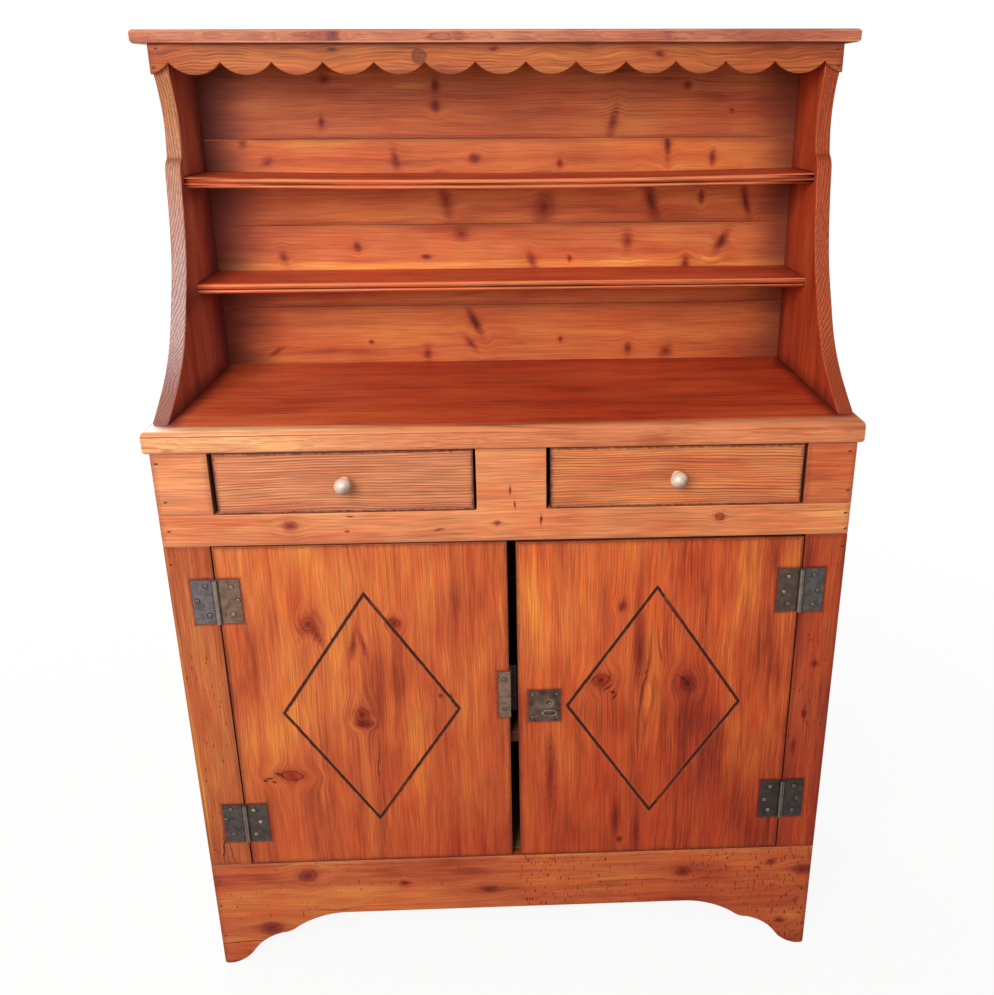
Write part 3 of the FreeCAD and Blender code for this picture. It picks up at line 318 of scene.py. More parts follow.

# The fall-off factors of the plinth, stiles and rail paint the light fading towards the bottom and the right
BOARDS = {
    "plinth_board": Board("orange", shade=(0.86, 0.78, 0.98), rings=8, heart=(60, 40), contrast=0.4, streaks=1.25,
        scars=1.0, hair=0.6, bands=(("z", 207.5, 5, (1.3, 1.7, 1.7)),),
        light_drift=(("x", -200, 480, (0.92, 0.8, 0.74)),), knots=((-344, 181, 13, 11, "dark", 20),
        (-414, 73, 15, 12, "dark", 0), (-44, 141, 13, 6, "dark", 0), (-185, 159, 6, 4, "red", 0),
        (282, 165, 11, 8, "dark", 0), (485, 160, 14, 9, "dark", 0), (430, 178, 6, 5, "dark", 0),
        (455, 52, 7, 5, "dark", 0), (-455, 46, 52, 1.0, "crack", 3), (-300, 108, 30, 0.8, "crack", 0))),
    "stile_left": Board("orange", irons=LEFT_IRONS, bands=(("x", -499, 7, (1.35, 1.75, 1.5)),),
        shade=(0.78, 0.8, 1.0), heart=(150, 30), scars=0.5, light_drift=(("z", 600, 230, (0.86, 0.74, 0.74)),),
        knots=((240, -475, 28, 0.9, "crack", 6), (232, -462, 22, 0.7, "crack", -8))),
    "stile_right": Board("russet", irons=RIGHT_IRONS, shade=(0.9, 0.7, 0.68), heart=(-150, 30), contrast=0.55,
        streaks=1.3, scars=0.7, light_drift=(("z", 600, 230, (0.88, 0.78, 0.76)),),
        knots=((560, 470, 5, 4, "dark", 0), (470, 462, 6, 4, "dark", 0), (410, 448, 9, 3, "spike", 0))),
    "drawer_rail": Board("amber", spread=0.6, shade=(1.03, 0.98, 1.16), rings=9, heart=(0, 40), slope=0.02,
        contrast=0.35, light_drift=(("x", -100, 400, (0.96, 0.9, 0.84)),), knots=((-315, 809, 9, 7, "dark", 0),
        (-235, 800, 3, 2.5, "dark", 0), (-101, 799, 6, 2, "dark", 0), (-228, 822, 5, 1.2, "crack", -10),
        (-18, 807, 4, 3, "red", 0), (307, 811, 6, 5, "ring", 0), (1.5, 858, 1.2, 7, "crack", 0),
        (46, 811, 1.2, 7, "crack", 0), (8.5, 835, 1.0, 5, "crack", 0))),
    "drawer_post_left": Board("amber", spread=0.5, shade=(1.02, 0.98, 1.22), grain="xzy", rings=9, heart=(30, 50),
        contrast=0.25),
    "drawer_post_right": Board("amber", spread=0.7, shade=(0.9, 0.63, 0.6), grain="xzy", rings=8, heart=(-30, 50),
        contrast=0.3),
    "left_door_board_outer": Board("orange", shade=(0.96, 0.92, 0.98), streaks=1.15, irons=LEFT_IRONS,
        sharp=("x1",), knots=((650, -304, 12, 9, "faint", 30), (632, -292, 12, 5, "faint", -20),
        (489, -234, 12, 10, "red", 0), (472, -227, 5, 9, "red", 0), (380, -352, 8, 16, "ring", 8),
        (383, -373, 1.8, 6, "crack", 25), (376, -388, 1.6, 6, "crack", -15), (369, -381, 1.6, 4, "crack", 30),
        (371, -394, 2.0, 3, "crack", 0), (612, -240, 20, 4, "spike", 12), (612, -224, 18, 3, "spike", -12),
        (398, -214, 30, 0.9, "crack", 4)), **LEFT_DOOR),
    "left_door_board_inner": Board("orange", shade=(0.94, 0.8, 0.84), streaks=1.2, irons=KEEP_IRON, sharp=("x0",),
        knots=((648, -176, 7, 8, "red", 0), (520, -112, 2.5, 3, "dark", 0), (520, -95, 2, 2.5, "dark", 0)),
        **LEFT_DOOR),
    "right_door_board_inner": Board("orange", shade=(1.03, 0.93, 0.9), irons=PLATE_IRON, sharp=("x1",),
        knots=((668, 168, 7, 5, "dark", 20), (540, 137, 9, 12, "red", -20), (527, 149, 1.3, 8, "crack", -38),
        (518, 156, 2.2, 4, "crack", 20), (510, 160, 1.2, 6, "crack", -60), (590, 196, 46, 7, "spike", 0),
        (236, 172, 4, 4, "red", 0), (373, 59, 50, 7, "spike", 0), (281, 165, 30, 5, "spike", 0),
        (500, 210, 38, 10, "flame", 0), (250, 200, 34, 4, "spike", 0)), **RIGHT_DOOR),
    "right_door_board_outer": Board("orange", shade=(0.94, 0.74, 0.74), streaks=1.5, hair=1.1, irons=RIGHT_IRONS,
        sharp=("x0",), knots=((531, 272, 12, 11, "red", 10), (541, 264, 1.6, 6, "crack", 35)), **RIGHT_DOOR),
    "left_drawer_front": Board("amber", spread=0.6, shade=(0.94, 0.92, 1.2), rings=4.3, heart=(-110, 14),
        sway=(3.0, 260), light_drift=(("x", -200, -400, (1.0, 0.98, 1.02)),), **FRONT),
    "right_drawer_front": Board("amber", spread=0.7, shade=(0.99, 0.85, 0.9), rings=4.1, heart=(-120, 14),
        sway=(3.5, 240), **FRONT),
    # The counter's fall-off factors paint glossy light on its front left; its corner entries paint shade at the
    # rack's foot and back
    "counter_top": Board("russet", polish=0.32, shade=(1.34, 0.91, 1.04), rings=7, heart=(-190, 20), slope=0.02,
        contrast=0.7, streaks=1.05, ease=0.0, front=("amber", 24), sway=(5.0, 200),
        light_drift=(("x", -100, -430, (1.3, 1.95, 2.1)), ("y", -80, -170, (1.12, 1.22, 1.22))),
        shaded_nooks=(("y", RACK_BACK, 60, 0.3), ("x", -RACK_IN, 24, 0.85), ("x", RACK_IN, 24, 0.85))),
    "rack_side_left": Board("umber", shade=(1.43, 1.76, 3.6), rings=6, heart=(60, 40), contrast=0.35, streaks=0.9,
        ease=1.6, edge="tan", foot=(1.12, 1.8, 4.0, 1), outer=(0.95, 0.8, 0.42, 1),
        shaded_nooks=(("y", RACK_BACK, 95, 0.85), ("z", COUNTER_TOP, 34, 0.75), ("z", 1473, 75, 0.85),
        ("z", 1250, 30, 0.6), ("z", 1096, 30, 0.55))),
    "rack_side_right": Board("umber", shade=(1.58, 1.1, 1.15), rings=6, heart=(-60, 40), contrast=0.35, ease=1.6,
        edge="russet", foot=(1.1, 1.3, 1.4, 1), shaded_nooks=(("y", RACK_BACK, 65, 0.62), ("z", COUNTER_TOP, 26, 0.65),
        ("z", 1473, 50, 0.6))),
    # The shelves' bands paint shade in the groove between their beads
    "rack_shelf_lower": Board("russet", bands=(("z", 1104.5, 1.5, (0.34, 0.24, 0.26)),), **SHELF),
    "rack_shelf_upper": Board("russet", bands=(("z", 1260.4, 1.5, (0.34, 0.24, 0.26)),), **SHELF),
    "rack_back_plank_1": Board("orange", shade=(1.1, 1.16, 1.4), heart=(10, 40),
        knots=((-52, 1022, 5, 20, "bark", 25), (-60, 985, 4, 12, "spike", 40), (-135, 968, 5, 9, "spike", 0),
        (213, 973, 5, 8, "dark", 0), (-395, 975, 9, 3, "spike", 30), (-230, 990, 3, 3, "dark", 0),
        (95, 990, 3, 4, "dark", 0), (280, 968, 7, 10, "spike", -30)), **PLANK),
    # Plank 2's band is a painted pale strip of light over the lower shelf
    "rack_back_plank_2": Board("orange", shade=(1.14, 1.22, 1.6), heart=(-40, 40),
        bands=(("z", 1121, 9, (1.3, 1.75, 1.4)),), knots=((-367, 1135, 5, 9, "spike", 10),
        (-244, 1151, 5, 6, "dark", 0), (-130, 1133, 6, 3, "dark", 0), (47, 1126, 5, 12, "spike", 20),
        (367, 1155, 6, 15, "bark", -30), (208, 1157, 6, 12, "spike", 0), (308, 1119, 5, 9, "dark", 0),
        (110, 1128, 3, 4, "dark", 0), (315, 1088, 9, 5, "spike", 0), (-310, 1085, 4, 4, "dark", 0),
        (-70, 1170, 10, 8, "spike", 0)), **PLANK),
    "rack_back_plank_3": Board("orange", shade=(1.12, 1.18, 1.42), heart=(20, 40),
        knots=((-94, 1222, 7, 20, "spike", 10), (68, 1212, 12, 20, "spike", -10), (246, 1222, 7, 22, "bark", 18),
        (405, 1220, 4, 18, "bark", 14), (330, 1228, 4, 9, "dark", 0), (-416, 1315, 5, 8, "spike", -20),
        (-380, 1286, 7, 5, "spike", 30), (-174, 1290, 5, 12, "spike", 10), (-45, 1290, 7, 6, "dark", 0),
        (270, 1312, 4, 18, "bark", 4), (345, 1290, 4, 9, "dark", 0), (94, 1282, 4, 6, "dark", 0)), **PLANK),
    "rack_back_plank_4": Board("orange", shade=(0.92, 0.9, 1.2), heart=(-4, 9), slope=0.012, contrast=0.7,
        sway=(5.0, 260), hair=0.6, shaded_nooks=RACK_CORNER_SHADE + (("z", 1455, 34, 0.55),),
        knots=((-288, 1347, 4, 7, "dark", 0), (-104, 1400, 5, 9, "dark", 0), (-105, 1371, 6, 8, "dark", 0),
        (180, 1345, 5, 18, "spike", -12), (299, 1400, 5, 5, "dark", 0), (-278, 1410, 6, 6, "spike", 0),
        (372, 1362, 3, 3, "dark", 0), (-425, 1402, 24, 4, "flame", 0), (-258, 1401, 30, 4, "flame", 0),
        (-135, 1400, 42, 5, "flame", 0))),
    # The valance's fall-off factors paint the cornice's shadow along its top
    "valance": Board("orange", shade=(0.84, 0.92, 1.0), rings=3.6, heart=(20, 20), contrast=1.3, ease=0.7,
        hair=1.1, sway=(7.0, 120), light_drift=(("z", 1436, 1455, (0.72, 0.62, 0.6)),),
        knots=((-117, 1438, 9, 9, "plug", 0), (230, 1440, 6, 3, "dark", 0), (-240, 1448, 5, 2, "dark", 0),
        (-10, 1448, 5, 2, "dark", 0))),
    "cornice_board": Board("orange", shade=(1.22, 1.72, 3.4), rings=3.2, heart=(-150, 8), contrast=1.3,
        streaks=0.7, hair=1.2, sway=(5.0, 110), bands=(("z", 1456, 1.8, (0.42, 0.34, 0.38)),
        ("z", 1473.3, 1.6, (0.55, 0.45, 0.5))), ease=0.0, knots=((-258, 44, 15, 9, "spike", 0),
        (-236, 40, 7, 6, "bark", 0), (-60, 40, 8, 5, "spike", 0), (240, 42, 9, 6, "spike", 0))),
    # The inner shelf, seen through the gap between the doors, is darkened as painted shade
    "inner_shelf": Board("raw", shade=(0.48, 0.4, 0.36), contrast=0.4, ease=0.4, spread=0.4, edge="umber",
        foot=(0.72, 0.72, 1.4, 1)),
    "base_side_left": Board("orange", shade=0.9, rings=6, knots=((520, 20, 14, 11, "red", 0),)),
    "base_side_right": Board("orange", shade=0.9, rings=6, knots=((430, -40, 12, 10, "red", 0),)),
}
for name in BOARDS:
    BOARDS[name].bare_back = name.startswith(("rack_back", "left_d", "right_d", "plinth", "stile", "drawer"))
INSIDE = (
    "bottom_board", "inner_shelf", "shelf_cleats", "drawer_runner_left", "drawer_runner_centre",
    "drawer_runner_right", *("base_back_plank_%d" % i for i in range(1, 5)),
    *(side + part for side in ("left_drawer_", "right_drawer_")
      for part in ("side_left", "side_right", "back", "bottom")),
    "left_door_ledges", "right_door_ledges",
)
KNOT_KINDS = {  # tone of the heart, how soft its border is, depth of rings, rim, halo and core, pull on the fibres
    "red": ((0.86, 0.50, 0.42), 0.25, 0.75, 0.75, 0.65, 0.80, 0.9),
    "faint": ((0.94, 0.74, 0.68), 0.40, 0.75, 0.40, 0.55, 0.55, 0.8),
    "dark": ((0.60, 0.38, 0.50), 0.50, 0.40, 0.35, 0.45, 0.40, 0.7),
    "spike": ((0.66, 0.46, 0.54), 0.85, 0.30, 0.0, 0.40, 0.30, 0.3),
    "bark": ((0.42, 0.26, 0.40), 0.80, 0.30, 0.0, 0.55, 0.45, 0.4),
    "ring": ((0.88, 0.52, 0.44), 0.20, 0.30, 1.0, 0.60, 0.15, 0.8),
    "plug": ((0.55, 0.52, 0.60), 0.08, 0.10, 0.90, 0.10, 0.10, 0.0),
    "crack": ((0.20, 0.11, 0.10), 0.55, 0.0, 0.0, 0.30, 0.0, 0.0),
    "flame": ((1.14, 1.28, 1.18), 0.55, 0.0, 0.20, 0.0, 0.0, 0.6),
}


def lie_of(node, board):
    """The axes along, across and through a board, longest side first."""
    if board.grain:
        return board.grain
    low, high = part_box(node)
    sides = sorted(zip(high - low, "xyz"), reverse=True)
    return "".join(axis for size, axis in sides)


def fibres(put, place, along, across, detail=2.0, rough=0.5):
    """Noise drawn out along the fibres, with its usual length and width in mm."""
    shares = (1 / (along * MM), 1 / (across * MM), 1 / (across * MM))
    scaled = put("VectorMath MULTIPLY", (place, shares))
    return put("TexNoise", {"Vector": scaled, "Scale": 1.0, "Detail": detail, "Roughness": rough})


def waxed_pine(node, board, seed):
    """Old pine, planed by hand, stained red-brown and waxed.

    The saw has cut the rings to long lines and pointed arches, knots push them aside, the stain lies in
    streaks along the fibres, and the arrises are rubbed pale. Painted shade darkens the corners, the grooves
    and the borders by the gaps, and painted light falls off across some boards. The wax gives a soft broad
    gloss."""
    wood = bpy.context.scene.dresser_wood
    body = toned(getattr(wood, board.stain), board.shade)
    low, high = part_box(node)
    middle = (low + high) / 2
    grain = lie_of(node, board)
    part = {"x": 0, "y": 1, "z": 2}
    seed = board.seed or seed
    material, put = new_material("waxed_pine_" + node)

    object_place = put("TexCoord", out=3)
    normal = object_place.node.outputs[1]
    at = dict(zip("xyz", put("SeparateXYZ", (object_place,)).node.outputs))
    along, across, through = (at[a] for a in grain)
    lie = put("CombineXYZ", (along, across, through))
    offset = (0.37 * seed, 0.71 * seed, 0.13 * seed)
    place = put("VectorMath", (lie, offset))

    # Rings wander a little along the board
    wander = fibres(put, place, board.sway[1], 90)
    shift = put("Math MULTIPLY_ADD", (wander, 5 * board.sway[0] * MM, -2.5 * board.sway[0] * MM))
    across_now = put("Math", (across, shift))

    # Knots push the fibres aside
    rough = put("TexNoise", {"Vector": place, "Scale": 95.0, "Detail": 3.0, "Roughness": 0.6}, out=1)
    uneven = put("VectorMath MULTIPLY_ADD", (rough, (0.007, 0.007, 0), (-0.0035, -0.0035, 0)))
    uneven = put("VectorMath", (lie, uneven))
    knots = []
    for k_along, k_across, r_along, r_across, kind, tilt in board.knots:
        local = put("Mapping", {
            "Vector": uneven, "Location": (k_along * MM, k_across * MM, middle[part[grain[2]]]),
            "Rotation": (0, 0, math.radians(tilt)), "Scale": (r_along * MM, r_across * MM, 1.0)},
            vector_type="TEXTURE")
        far = put("VectorMath LENGTH", (local,), out=1)
        knots.append((kind, local, far))
        strength = KNOT_KINDS[kind][6]
        if strength:
            pull = put("MapRange", (far, 0.3, 4.2, -strength * r_across * MM, 0.0), **EASED)
            side = put("SeparateXYZ", (local,), out=1)
            across_now = put("Math MULTIPLY_ADD", (side, pull, across_now))
    place = put("CombineXYZ", (along, across_now, through))
    place = put("VectorMath", (place, offset))

    rough_line = put("TexNoise", {"Vector": object_place, "Scale": 160.0, "Detail": 1.0})
    rough_line = put("Math SUBTRACT", (rough_line, 0.5))

    # Yearly rings round the tree's heart, some of them deep and most of them faint
    if board.lozenge:
        heart_across = board.heart[0] * MM
    else:
        heart_across = middle[part[grain[1]]] + board.heart[0] * MM
    from_heart = put("Math SUBTRACT", (across_now, heart_across))
    depth = put("Math MULTIPLY_ADD", (along, board.slope, board.heart[1] * MM))
    depth = put("Math", (depth, put("Math SUBTRACT", (through, middle[part[grain[2]]]))))
    radius = put("CombineXYZ", (from_heart, depth))
    radius = put("VectorMath LENGTH", (radius,), out=1)
    count = put("Math MULTIPLY", (radius, 1 / (board.rings * MM)))
    count = put("Math MULTIPLY_ADD", (fibres(put, place, 420, 28, 3.0), 3.2, count))
    year = put("Math FRACT", (count,))
    late = put("ValToRGB", (year,), stops=((0.0, 0.12), (0.22, 0.0), (0.58, 0.22), (0.82, 1.0), (0.92, 0.9),
        (1.0, 0.12)))
    whole = put("Math FLOOR", (count,))
    which = put("TexWhiteNoise", {"W": whole}, noise_dimensions="1D")
    which = put("Math POWER", (which, 2.0))
    weight = put("MapRange", {0: which, 3: max(0.22, board.even) * board.contrast, 4: board.contrast})
    patchy = put("MapRange", (fibres(put, place, 170, 40), 0.36, 0.6, board.even, 1.0))
    late = put("Math MULTIPLY", (late, weight))
    late = put("Math MULTIPLY", (late, patchy))
    if board.lozenge:
        terms = []
        for axis, centre, half in zip("xz", board.lozenge, LOZENGE_HALF):
            off = away(put, at[axis], centre * MM)
            terms.append(put("Math MULTIPLY", (off, 1 / (half * MM))))
        groove = put("Math", (terms[0], terms[1]))
        within = put("MapRange", (groove, 1.0, 0.97, 0.75, 1.5))
        late = put("Math MULTIPLY", (late, within))
        groove = away(put, groove, 1.0)
        groove = put("Math MULTIPLY_ADD", (rough_line, 0.018, groove))

    # Stain taken up in narrow and broad streaks along the fibres and in clouds a hand wide
    narrow = fibres(put, place, 150, wood.fibre / MM, 3.0, 0.6)
    broad = fibres(put, place, 380, 15, 3.0, 0.6)
    cloud = fibres(put, place, 200, 62, 3.0, 0.55)
    tone = put("Math MULTIPLY_ADD", (narrow, 0.13, put("Math MULTIPLY", (broad, 0.37))))
    tone = put("Math MULTIPLY_ADD", (cloud, 0.5, tone))
    reach = 0.15 / board.streaks
    tone = put("MapRange", (tone, 0.5 - reach, 0.5 + reach))
    surface = put("ValToRGB", (tone,), stops=[
        (stop, toned(body, [share ** board.spread for share in shares])) for stop, shares in (
            (0.0, (0.56, 0.38, 0.38)), (0.28, (0.84, 0.72, 0.72)), (0.55, (1, 1, 1)), (0.8, (1.1, 1.3, 1.08)),
            (1.0, (1.2, 1.66, 1.25)))])
    redder = put("MapRange", (fibres(put, place, 120, 45, 2.0), 0.46, 0.66, 0.0, 0.8))
    surface = put("Mix", {0: redder, 6: surface, 7: (1.0, 0.78, 0.74, 1)}, **TINT)

    # Faces and strips that a different stain or more handling has left paler
    steep = put("VectorMath ABSOLUTE", (normal,))
    steep = dict(zip("xyz", put("SeparateXYZ", (steep,)).node.outputs))
    upright = steep[grain[2]]
    flat = put("Math POWER", (upright, 2.0))
    flat = put("Math SUBTRACT", (1.0, flat))
    flat = put("Math SQRT", (flat,))
    flat = put("Math MAXIMUM", (flat, upright))
    turn = dict(zip("xyz", put("SeparateXYZ", (normal,)).node.outputs))
    facing = put("MapRange", (turn["y"], -0.25, -0.6))
    if board.bare_back:
        back = put("MapRange", (turn["y"], 0.3, 0.6))
        bare = put("ValToRGB", (tone,), stops=((0.0, toned(wood.raw, (0.7, 0.64, 0.6))),
            (0.5, toned(wood.raw, 0.92)), (1.0, toned(wood.raw, 1.12))))
        surface = put("Mix", {0: back, 6: surface, 7: bare}, **COVER)
    if node.startswith("rack_side"):
        inward = 1 if low.x < 0 else -1
        inner = put("MapRange", (turn["x"], 0.2 * inward, 0.6 * inward))
        tint = put("Mix", {0: inner, 6: board.outer, 7: (1, 1, 1, 1)}, **COVER)
        surface = put("Mix", {0: 1.0, 6: surface, 7: tint}, **TINT)
    if board.edge:
        stain = getattr(wood, board.edge)
        if board.beads:
            # Bead faces: painted shade where they turn down, painted light where they turn up
            edge = put("MapRange", (turn["z"], -0.75, 0.35, 0.12, 1.75))
            edge = put("Mix", {0: 1.0, 6: toned(stain, (1.0, 1.15, 1.6)), 7: edge}, **TINT)
        else:
            bow = put("VectorMath SUBTRACT", (object_place, (low.x - 0.6, 0, 1.35)))
            bow = put("VectorMath MULTIPLY", (bow, (1, 0, 1)))
            bow = put("VectorMath LENGTH", (bow,), out=1)
            bow = put("Math MULTIPLY_ADD", (wander, 0.045, bow))
            bow = put("Math MULTIPLY", (bow, 1500.0))
            bow = put("Math SINE", (bow,))
            bow = put("Math MULTIPLY_ADD", (narrow, 1.6, bow))
            edge = put("ValToRGB", (put("MapRange", (bow, -0.6, 1.9)),),
                stops=((0.0, toned(stain, (1.02, 0.94, 0.98))), (0.5, toned(stain, (0.9, 0.82, 0.84))),
                (1.0, toned(stain, (0.58, 0.42, 0.46)))))
            foot = put("MapRange", (at["z"], 1.34, 1.1))
            edge = put("Mix", {0: foot, 6: edge, 7: board.foot}, **TINT)
        surface = put("Mix", {0: facing, 6: surface, 7: edge}, **COVER)
    if board.front:
        front = toned(getattr(wood, board.front[0]), (0.95, 0.76, 0.88))
        reach = low.y + board.front[1] * MM
        near = put("Math MULTIPLY_ADD", (wander, 0.03, at["y"]))
        near = put("MapRange", (near, reach + 0.02, reach + 0.004))
        strip = put("ValToRGB", (tone,), stops=((0.1, toned(front, (0.66, 0.54, 0.56))), (0.5, front),
            (0.9, toned(front, (1.08, 1.16, 1.3)))))
        # Painted light on the strip's upward faces
        top_light = put("MapRange", (turn["z"], 0.5, 0.9))
        strip = put("Mix", {0: top_light, 6: strip, 7: (1.12, 1.24, 1.3, 1)}, **TINT)
        surface = put("Mix", {0: near, 6: surface, 7: strip}, **COVER)

    surface = put("Mix", {0: late, 6: surface, 7: toned(body, (0.36, 0.24, 0.22))}, **COVER)
    fine = fibres(put, place, 55, 1.4, 1.0)
    hair = put("MapRange", (fine, 0.28, 0.72, 1 - 0.34 * board.hair, 1 + 0.24 * board.hair))
    surface = put("Mix", {0: 1.0, 6: surface, 7: hair}, **TINT)

    # Knots: a halo of darker stain, a smear along the fibres, the heart with its own rings and a broken rim
    for kind, local, far in knots:
        heart_tone, soft, ring_share, rim_share, halo_share, core_share, pull = KNOT_KINDS[kind]
        if halo_share:
            halo = put("MapRange", (far, 2.6, 0.9, 0.0, halo_share), **EASED)
            halo = put("Math MULTIPLY", (halo, put("MapRange", (narrow, 0.35, 0.65, 1.4, 0.5))))
            surface = put("Mix", {0: halo, 6: surface, 7: (0.66, 0.42, 0.5, 1)}, **TINT)
            drawn = put("VectorMath MULTIPLY", (local, (0.24, 1.5, 0)))
            drawn = put("VectorMath LENGTH", (drawn,), out=1)
            smear = put("MapRange", (drawn, 1.2, 0.2, 0.0, 0.8 * halo_share), **EASED)
            surface = put("Mix", {0: smear, 6: surface, 7: toned(body, (0.5, 0.32, 0.3))}, **COVER)
        inside = put("MapRange", (far, 1.0 + soft, 1.0 - soft), **EASED)
        surface = put("Mix", {0: inside, 6: surface, 7: (*heart_tone, 1)}, **TINT)
        core = put("MapRange", (far, 0.55, 0.2, 0.0, core_share), **EASED)
        surface = put("Mix", {0: core, 6: surface, 7: (0.28, 0.15, 0.22, 1)}, **TINT)
        ripple = put("Math MULTIPLY", (far, 15.0))
        ripple = put("Math SINE", (ripple,))
        ripple = put("MapRange", (ripple, 0.1, 1.0, 0.0, ring_share))
        reach = put("MapRange", (far, 2.1, 1.0))
        ripple = put("Math MULTIPLY", (ripple, reach))
        surface = put("Mix", {0: ripple, 6: surface, 7: (0.47, 0.26, 0.34, 1)}, **TINT)
        if rim_share:
            rim = away(put, far, 1.05)
            rim = put("MapRange", (rim, 0.22, 0.05, 0.0, rim_share))
            broken = put("MapRange", (cloud, 0.4, 0.56, 0.35, 1.0))
            rim = put("Math MULTIPLY", (rim, broken))
            surface = put("Mix", {0: rim, 6: surface, 7: (0.26, 0.12, 0.17, 1)}, **TINT)

    # End grain drinks more stain
    ends = put("MapRange", (steep[grain[0]], 0.6, 0.85, 0.0, 0.45))
    surface = put("Mix", {0: ends, 6: surface, 7: toned(body, (0.5, 0.4, 0.35))}, **COVER)

    # Darker along the board's sides from soiling and painted shade, round its irons from soiling and their painted
    # shadow, and in corners from painted shade
    nearest = None
    for axis in grain[:2]:
        i = part[axis]
        for limit, sign, side in ((low[i], 1.0, "0"), (high[i], -1.0, "1")):
            if axis + side in board.sharp:
                continue
            gap = put("Math MULTIPLY_ADD", (at[axis], sign, -sign * limit))
            nearest = gap if nearest is None else put("Math MINIMUM", (nearest, gap))
    border = nearest
    nearest = put("Math MULTIPLY_ADD", (narrow, 0.01, nearest))
    soil_and_shade = put("MapRange", (nearest, 0.014, 0.005, 0.0, 0.45))
    if board.edge or board.front:
        soil_and_shade = put("Math MULTIPLY", (soil_and_shade, 0.5))
    # A dark ring on the wood round each plate: soiling and the plate's painted shadow
    for x0, x1, z0, z1 in board.irons:
        sides = []
        for axis, first, last in (("x", x0, x1), ("z", z0, z1)):
            off = away(put, at[axis], (first + last) / 2 * MM)
            sides.append(put("Math SUBTRACT", (off, (last - first) / 2 * MM)))
        off = put("Math MAXIMUM", (sides[0], sides[1]))
        off = put("Math MULTIPLY_ADD", (rough_line, 0.004, off))
        rust = put("MapRange", (off, 0.0055, 0.001, 0.0, 0.8))
        rust = put("Math MULTIPLY", (rust, facing))
        soil_and_shade = put("Math MAXIMUM", (soil_and_shade, rust))
    # Painted shade in the corners, beneath the shelves and beneath the cornice
    for axis, spot, reach, share in board.shaded_nooks:
        gap = away(put, at[axis], spot * MM)
        gap = put("Math MULTIPLY_ADD", (cloud, 0.8 * reach * MM, gap))
        corner_shade = put("MapRange", (gap, 1.4 * reach * MM, 0.4 * reach * MM, 0.0, share), **EASED)
        if board.edge or board.front:
            corner_shade = put("Mix", {0: facing if board.edge else near, 2: corner_shade, 3: 0.0}, data_type="FLOAT")
        if board.bare_back:
            corner_shade = put("Math MULTIPLY", (corner_shade, facing))
        if node.startswith("rack_side"):
            corner_shade = put("Math MULTIPLY", (corner_shade, inner))
        soil_and_shade = put("Math MAXIMUM", (soil_and_shade, corner_shade))
    surface = put("Mix", {0: soil_and_shade, 6: surface, 7: toned(body, (0.25, 0.19, 0.42))}, **COVER)
    # Strips: worn or dirty ones, painted shade in grooves and a painted strip of light
    for axis, spot, half, factors in board.bands:
        off = away(put, at[axis], spot * MM)
        off = put("Math MULTIPLY_ADD", (broad, -1.6 * half * MM, off))
        share = put("MapRange", (off, 0.2 * half * MM, -0.4 * half * MM))
        if board.bare_back:
            share = put("Math MULTIPLY", (share, facing))
        surface = put("Mix", {0: share, 6: surface, 7: (*factors, 1)}, **TINT)
    # Painted light falling off across the board: towards one end it grows lighter or darker
    for axis, start, end, factors in board.light_drift:
        share = put("Math MULTIPLY_ADD", (cloud, 0.12, at[axis]))
        share = put("MapRange", (share, start * MM + 0.06, end * MM + 0.06), **EASED)
        surface = put("Mix", {0: share, 6: surface, 7: (*factors, 1)}, **TINT)

    # Arrises rubbed pale
    rub = put("MapRange", (flat, 0.97, 0.8))
    rub = put("Math MULTIPLY", (rub, put("MapRange", (cloud, 0.42, 0.58, 0.25, 0.85))))
    bare = toned(front, 1.1) if board.front else toned(body, (1.25, 1.45, 1.7))
    surface = put("Mix", {0: rub, 6: surface, 7: bare}, **COVER)

    # A dark line round the board: soiling and the painted shade of the gap beside it
    if board.outline:
        border = put("Math MULTIPLY_ADD", (rough_line, 0.006, border))
        border = put("MapRange", (border, 0.0042, 0.0014, 0.0, board.outline))
        surface = put("Mix", {0: border, 6: surface, 7: toned(wood.grime_and_gap_shade, (1.7, 0.75, 0.85))}, **COVER)

    # Lozenge: painted shade in the groove; beside it the arrises are rubbed pale and painted as lit
    hollow = late
    if board.lozenge:
        arris = put("MapRange", (groove, 0.05, 0.028, 0.0, 0.22))
        arris = put("Math MULTIPLY", (arris, facing))
        surface = put("Mix", {0: arris, 6: surface, 7: toned(body, (0.85, 1.05, 1.9))}, **COVER)
        drawn = put("MapRange", (groove, 0.033, 0.012, 0.0, 0.95), **EASED)
        drawn = put("Math MULTIPLY", (drawn, facing))
        surface = put("Mix", {0: drawn, 6: surface, 7: toned(wood.grime_and_gap_shade, (1.0, 0.7, 0.8))}, **COVER)

    # Dents, scratches and pin holes
    if board.scars:
        nick = put("VectorMath MULTIPLY", (object_place, (420, 420, 120)))
        nick = put("TexNoise", {"Vector": nick, "Scale": 1.0, "Detail": 0.0})
        where = put("TexNoise", {"Vector": place, "Scale": 9.0, "Detail": 2.0})
        if node == "plinth_board":
            where = put("Math MULTIPLY_ADD", (at["x"], 0.22, where))
        where = put("MapRange", (where, 0.46, 0.68, 0.0, 0.13 * board.scars))
        nick = put("Math", (nick, where))
        nick = put("MapRange", (nick, 0.805, 0.86, 0.0, 0.75))
        surface = put("Mix", {0: nick, 6: surface, 7: toned(body, (0.2, 0.12, 0.2))}, **COVER)
        hollow = put("Math MULTIPLY_ADD", (nick, 2.0, late))

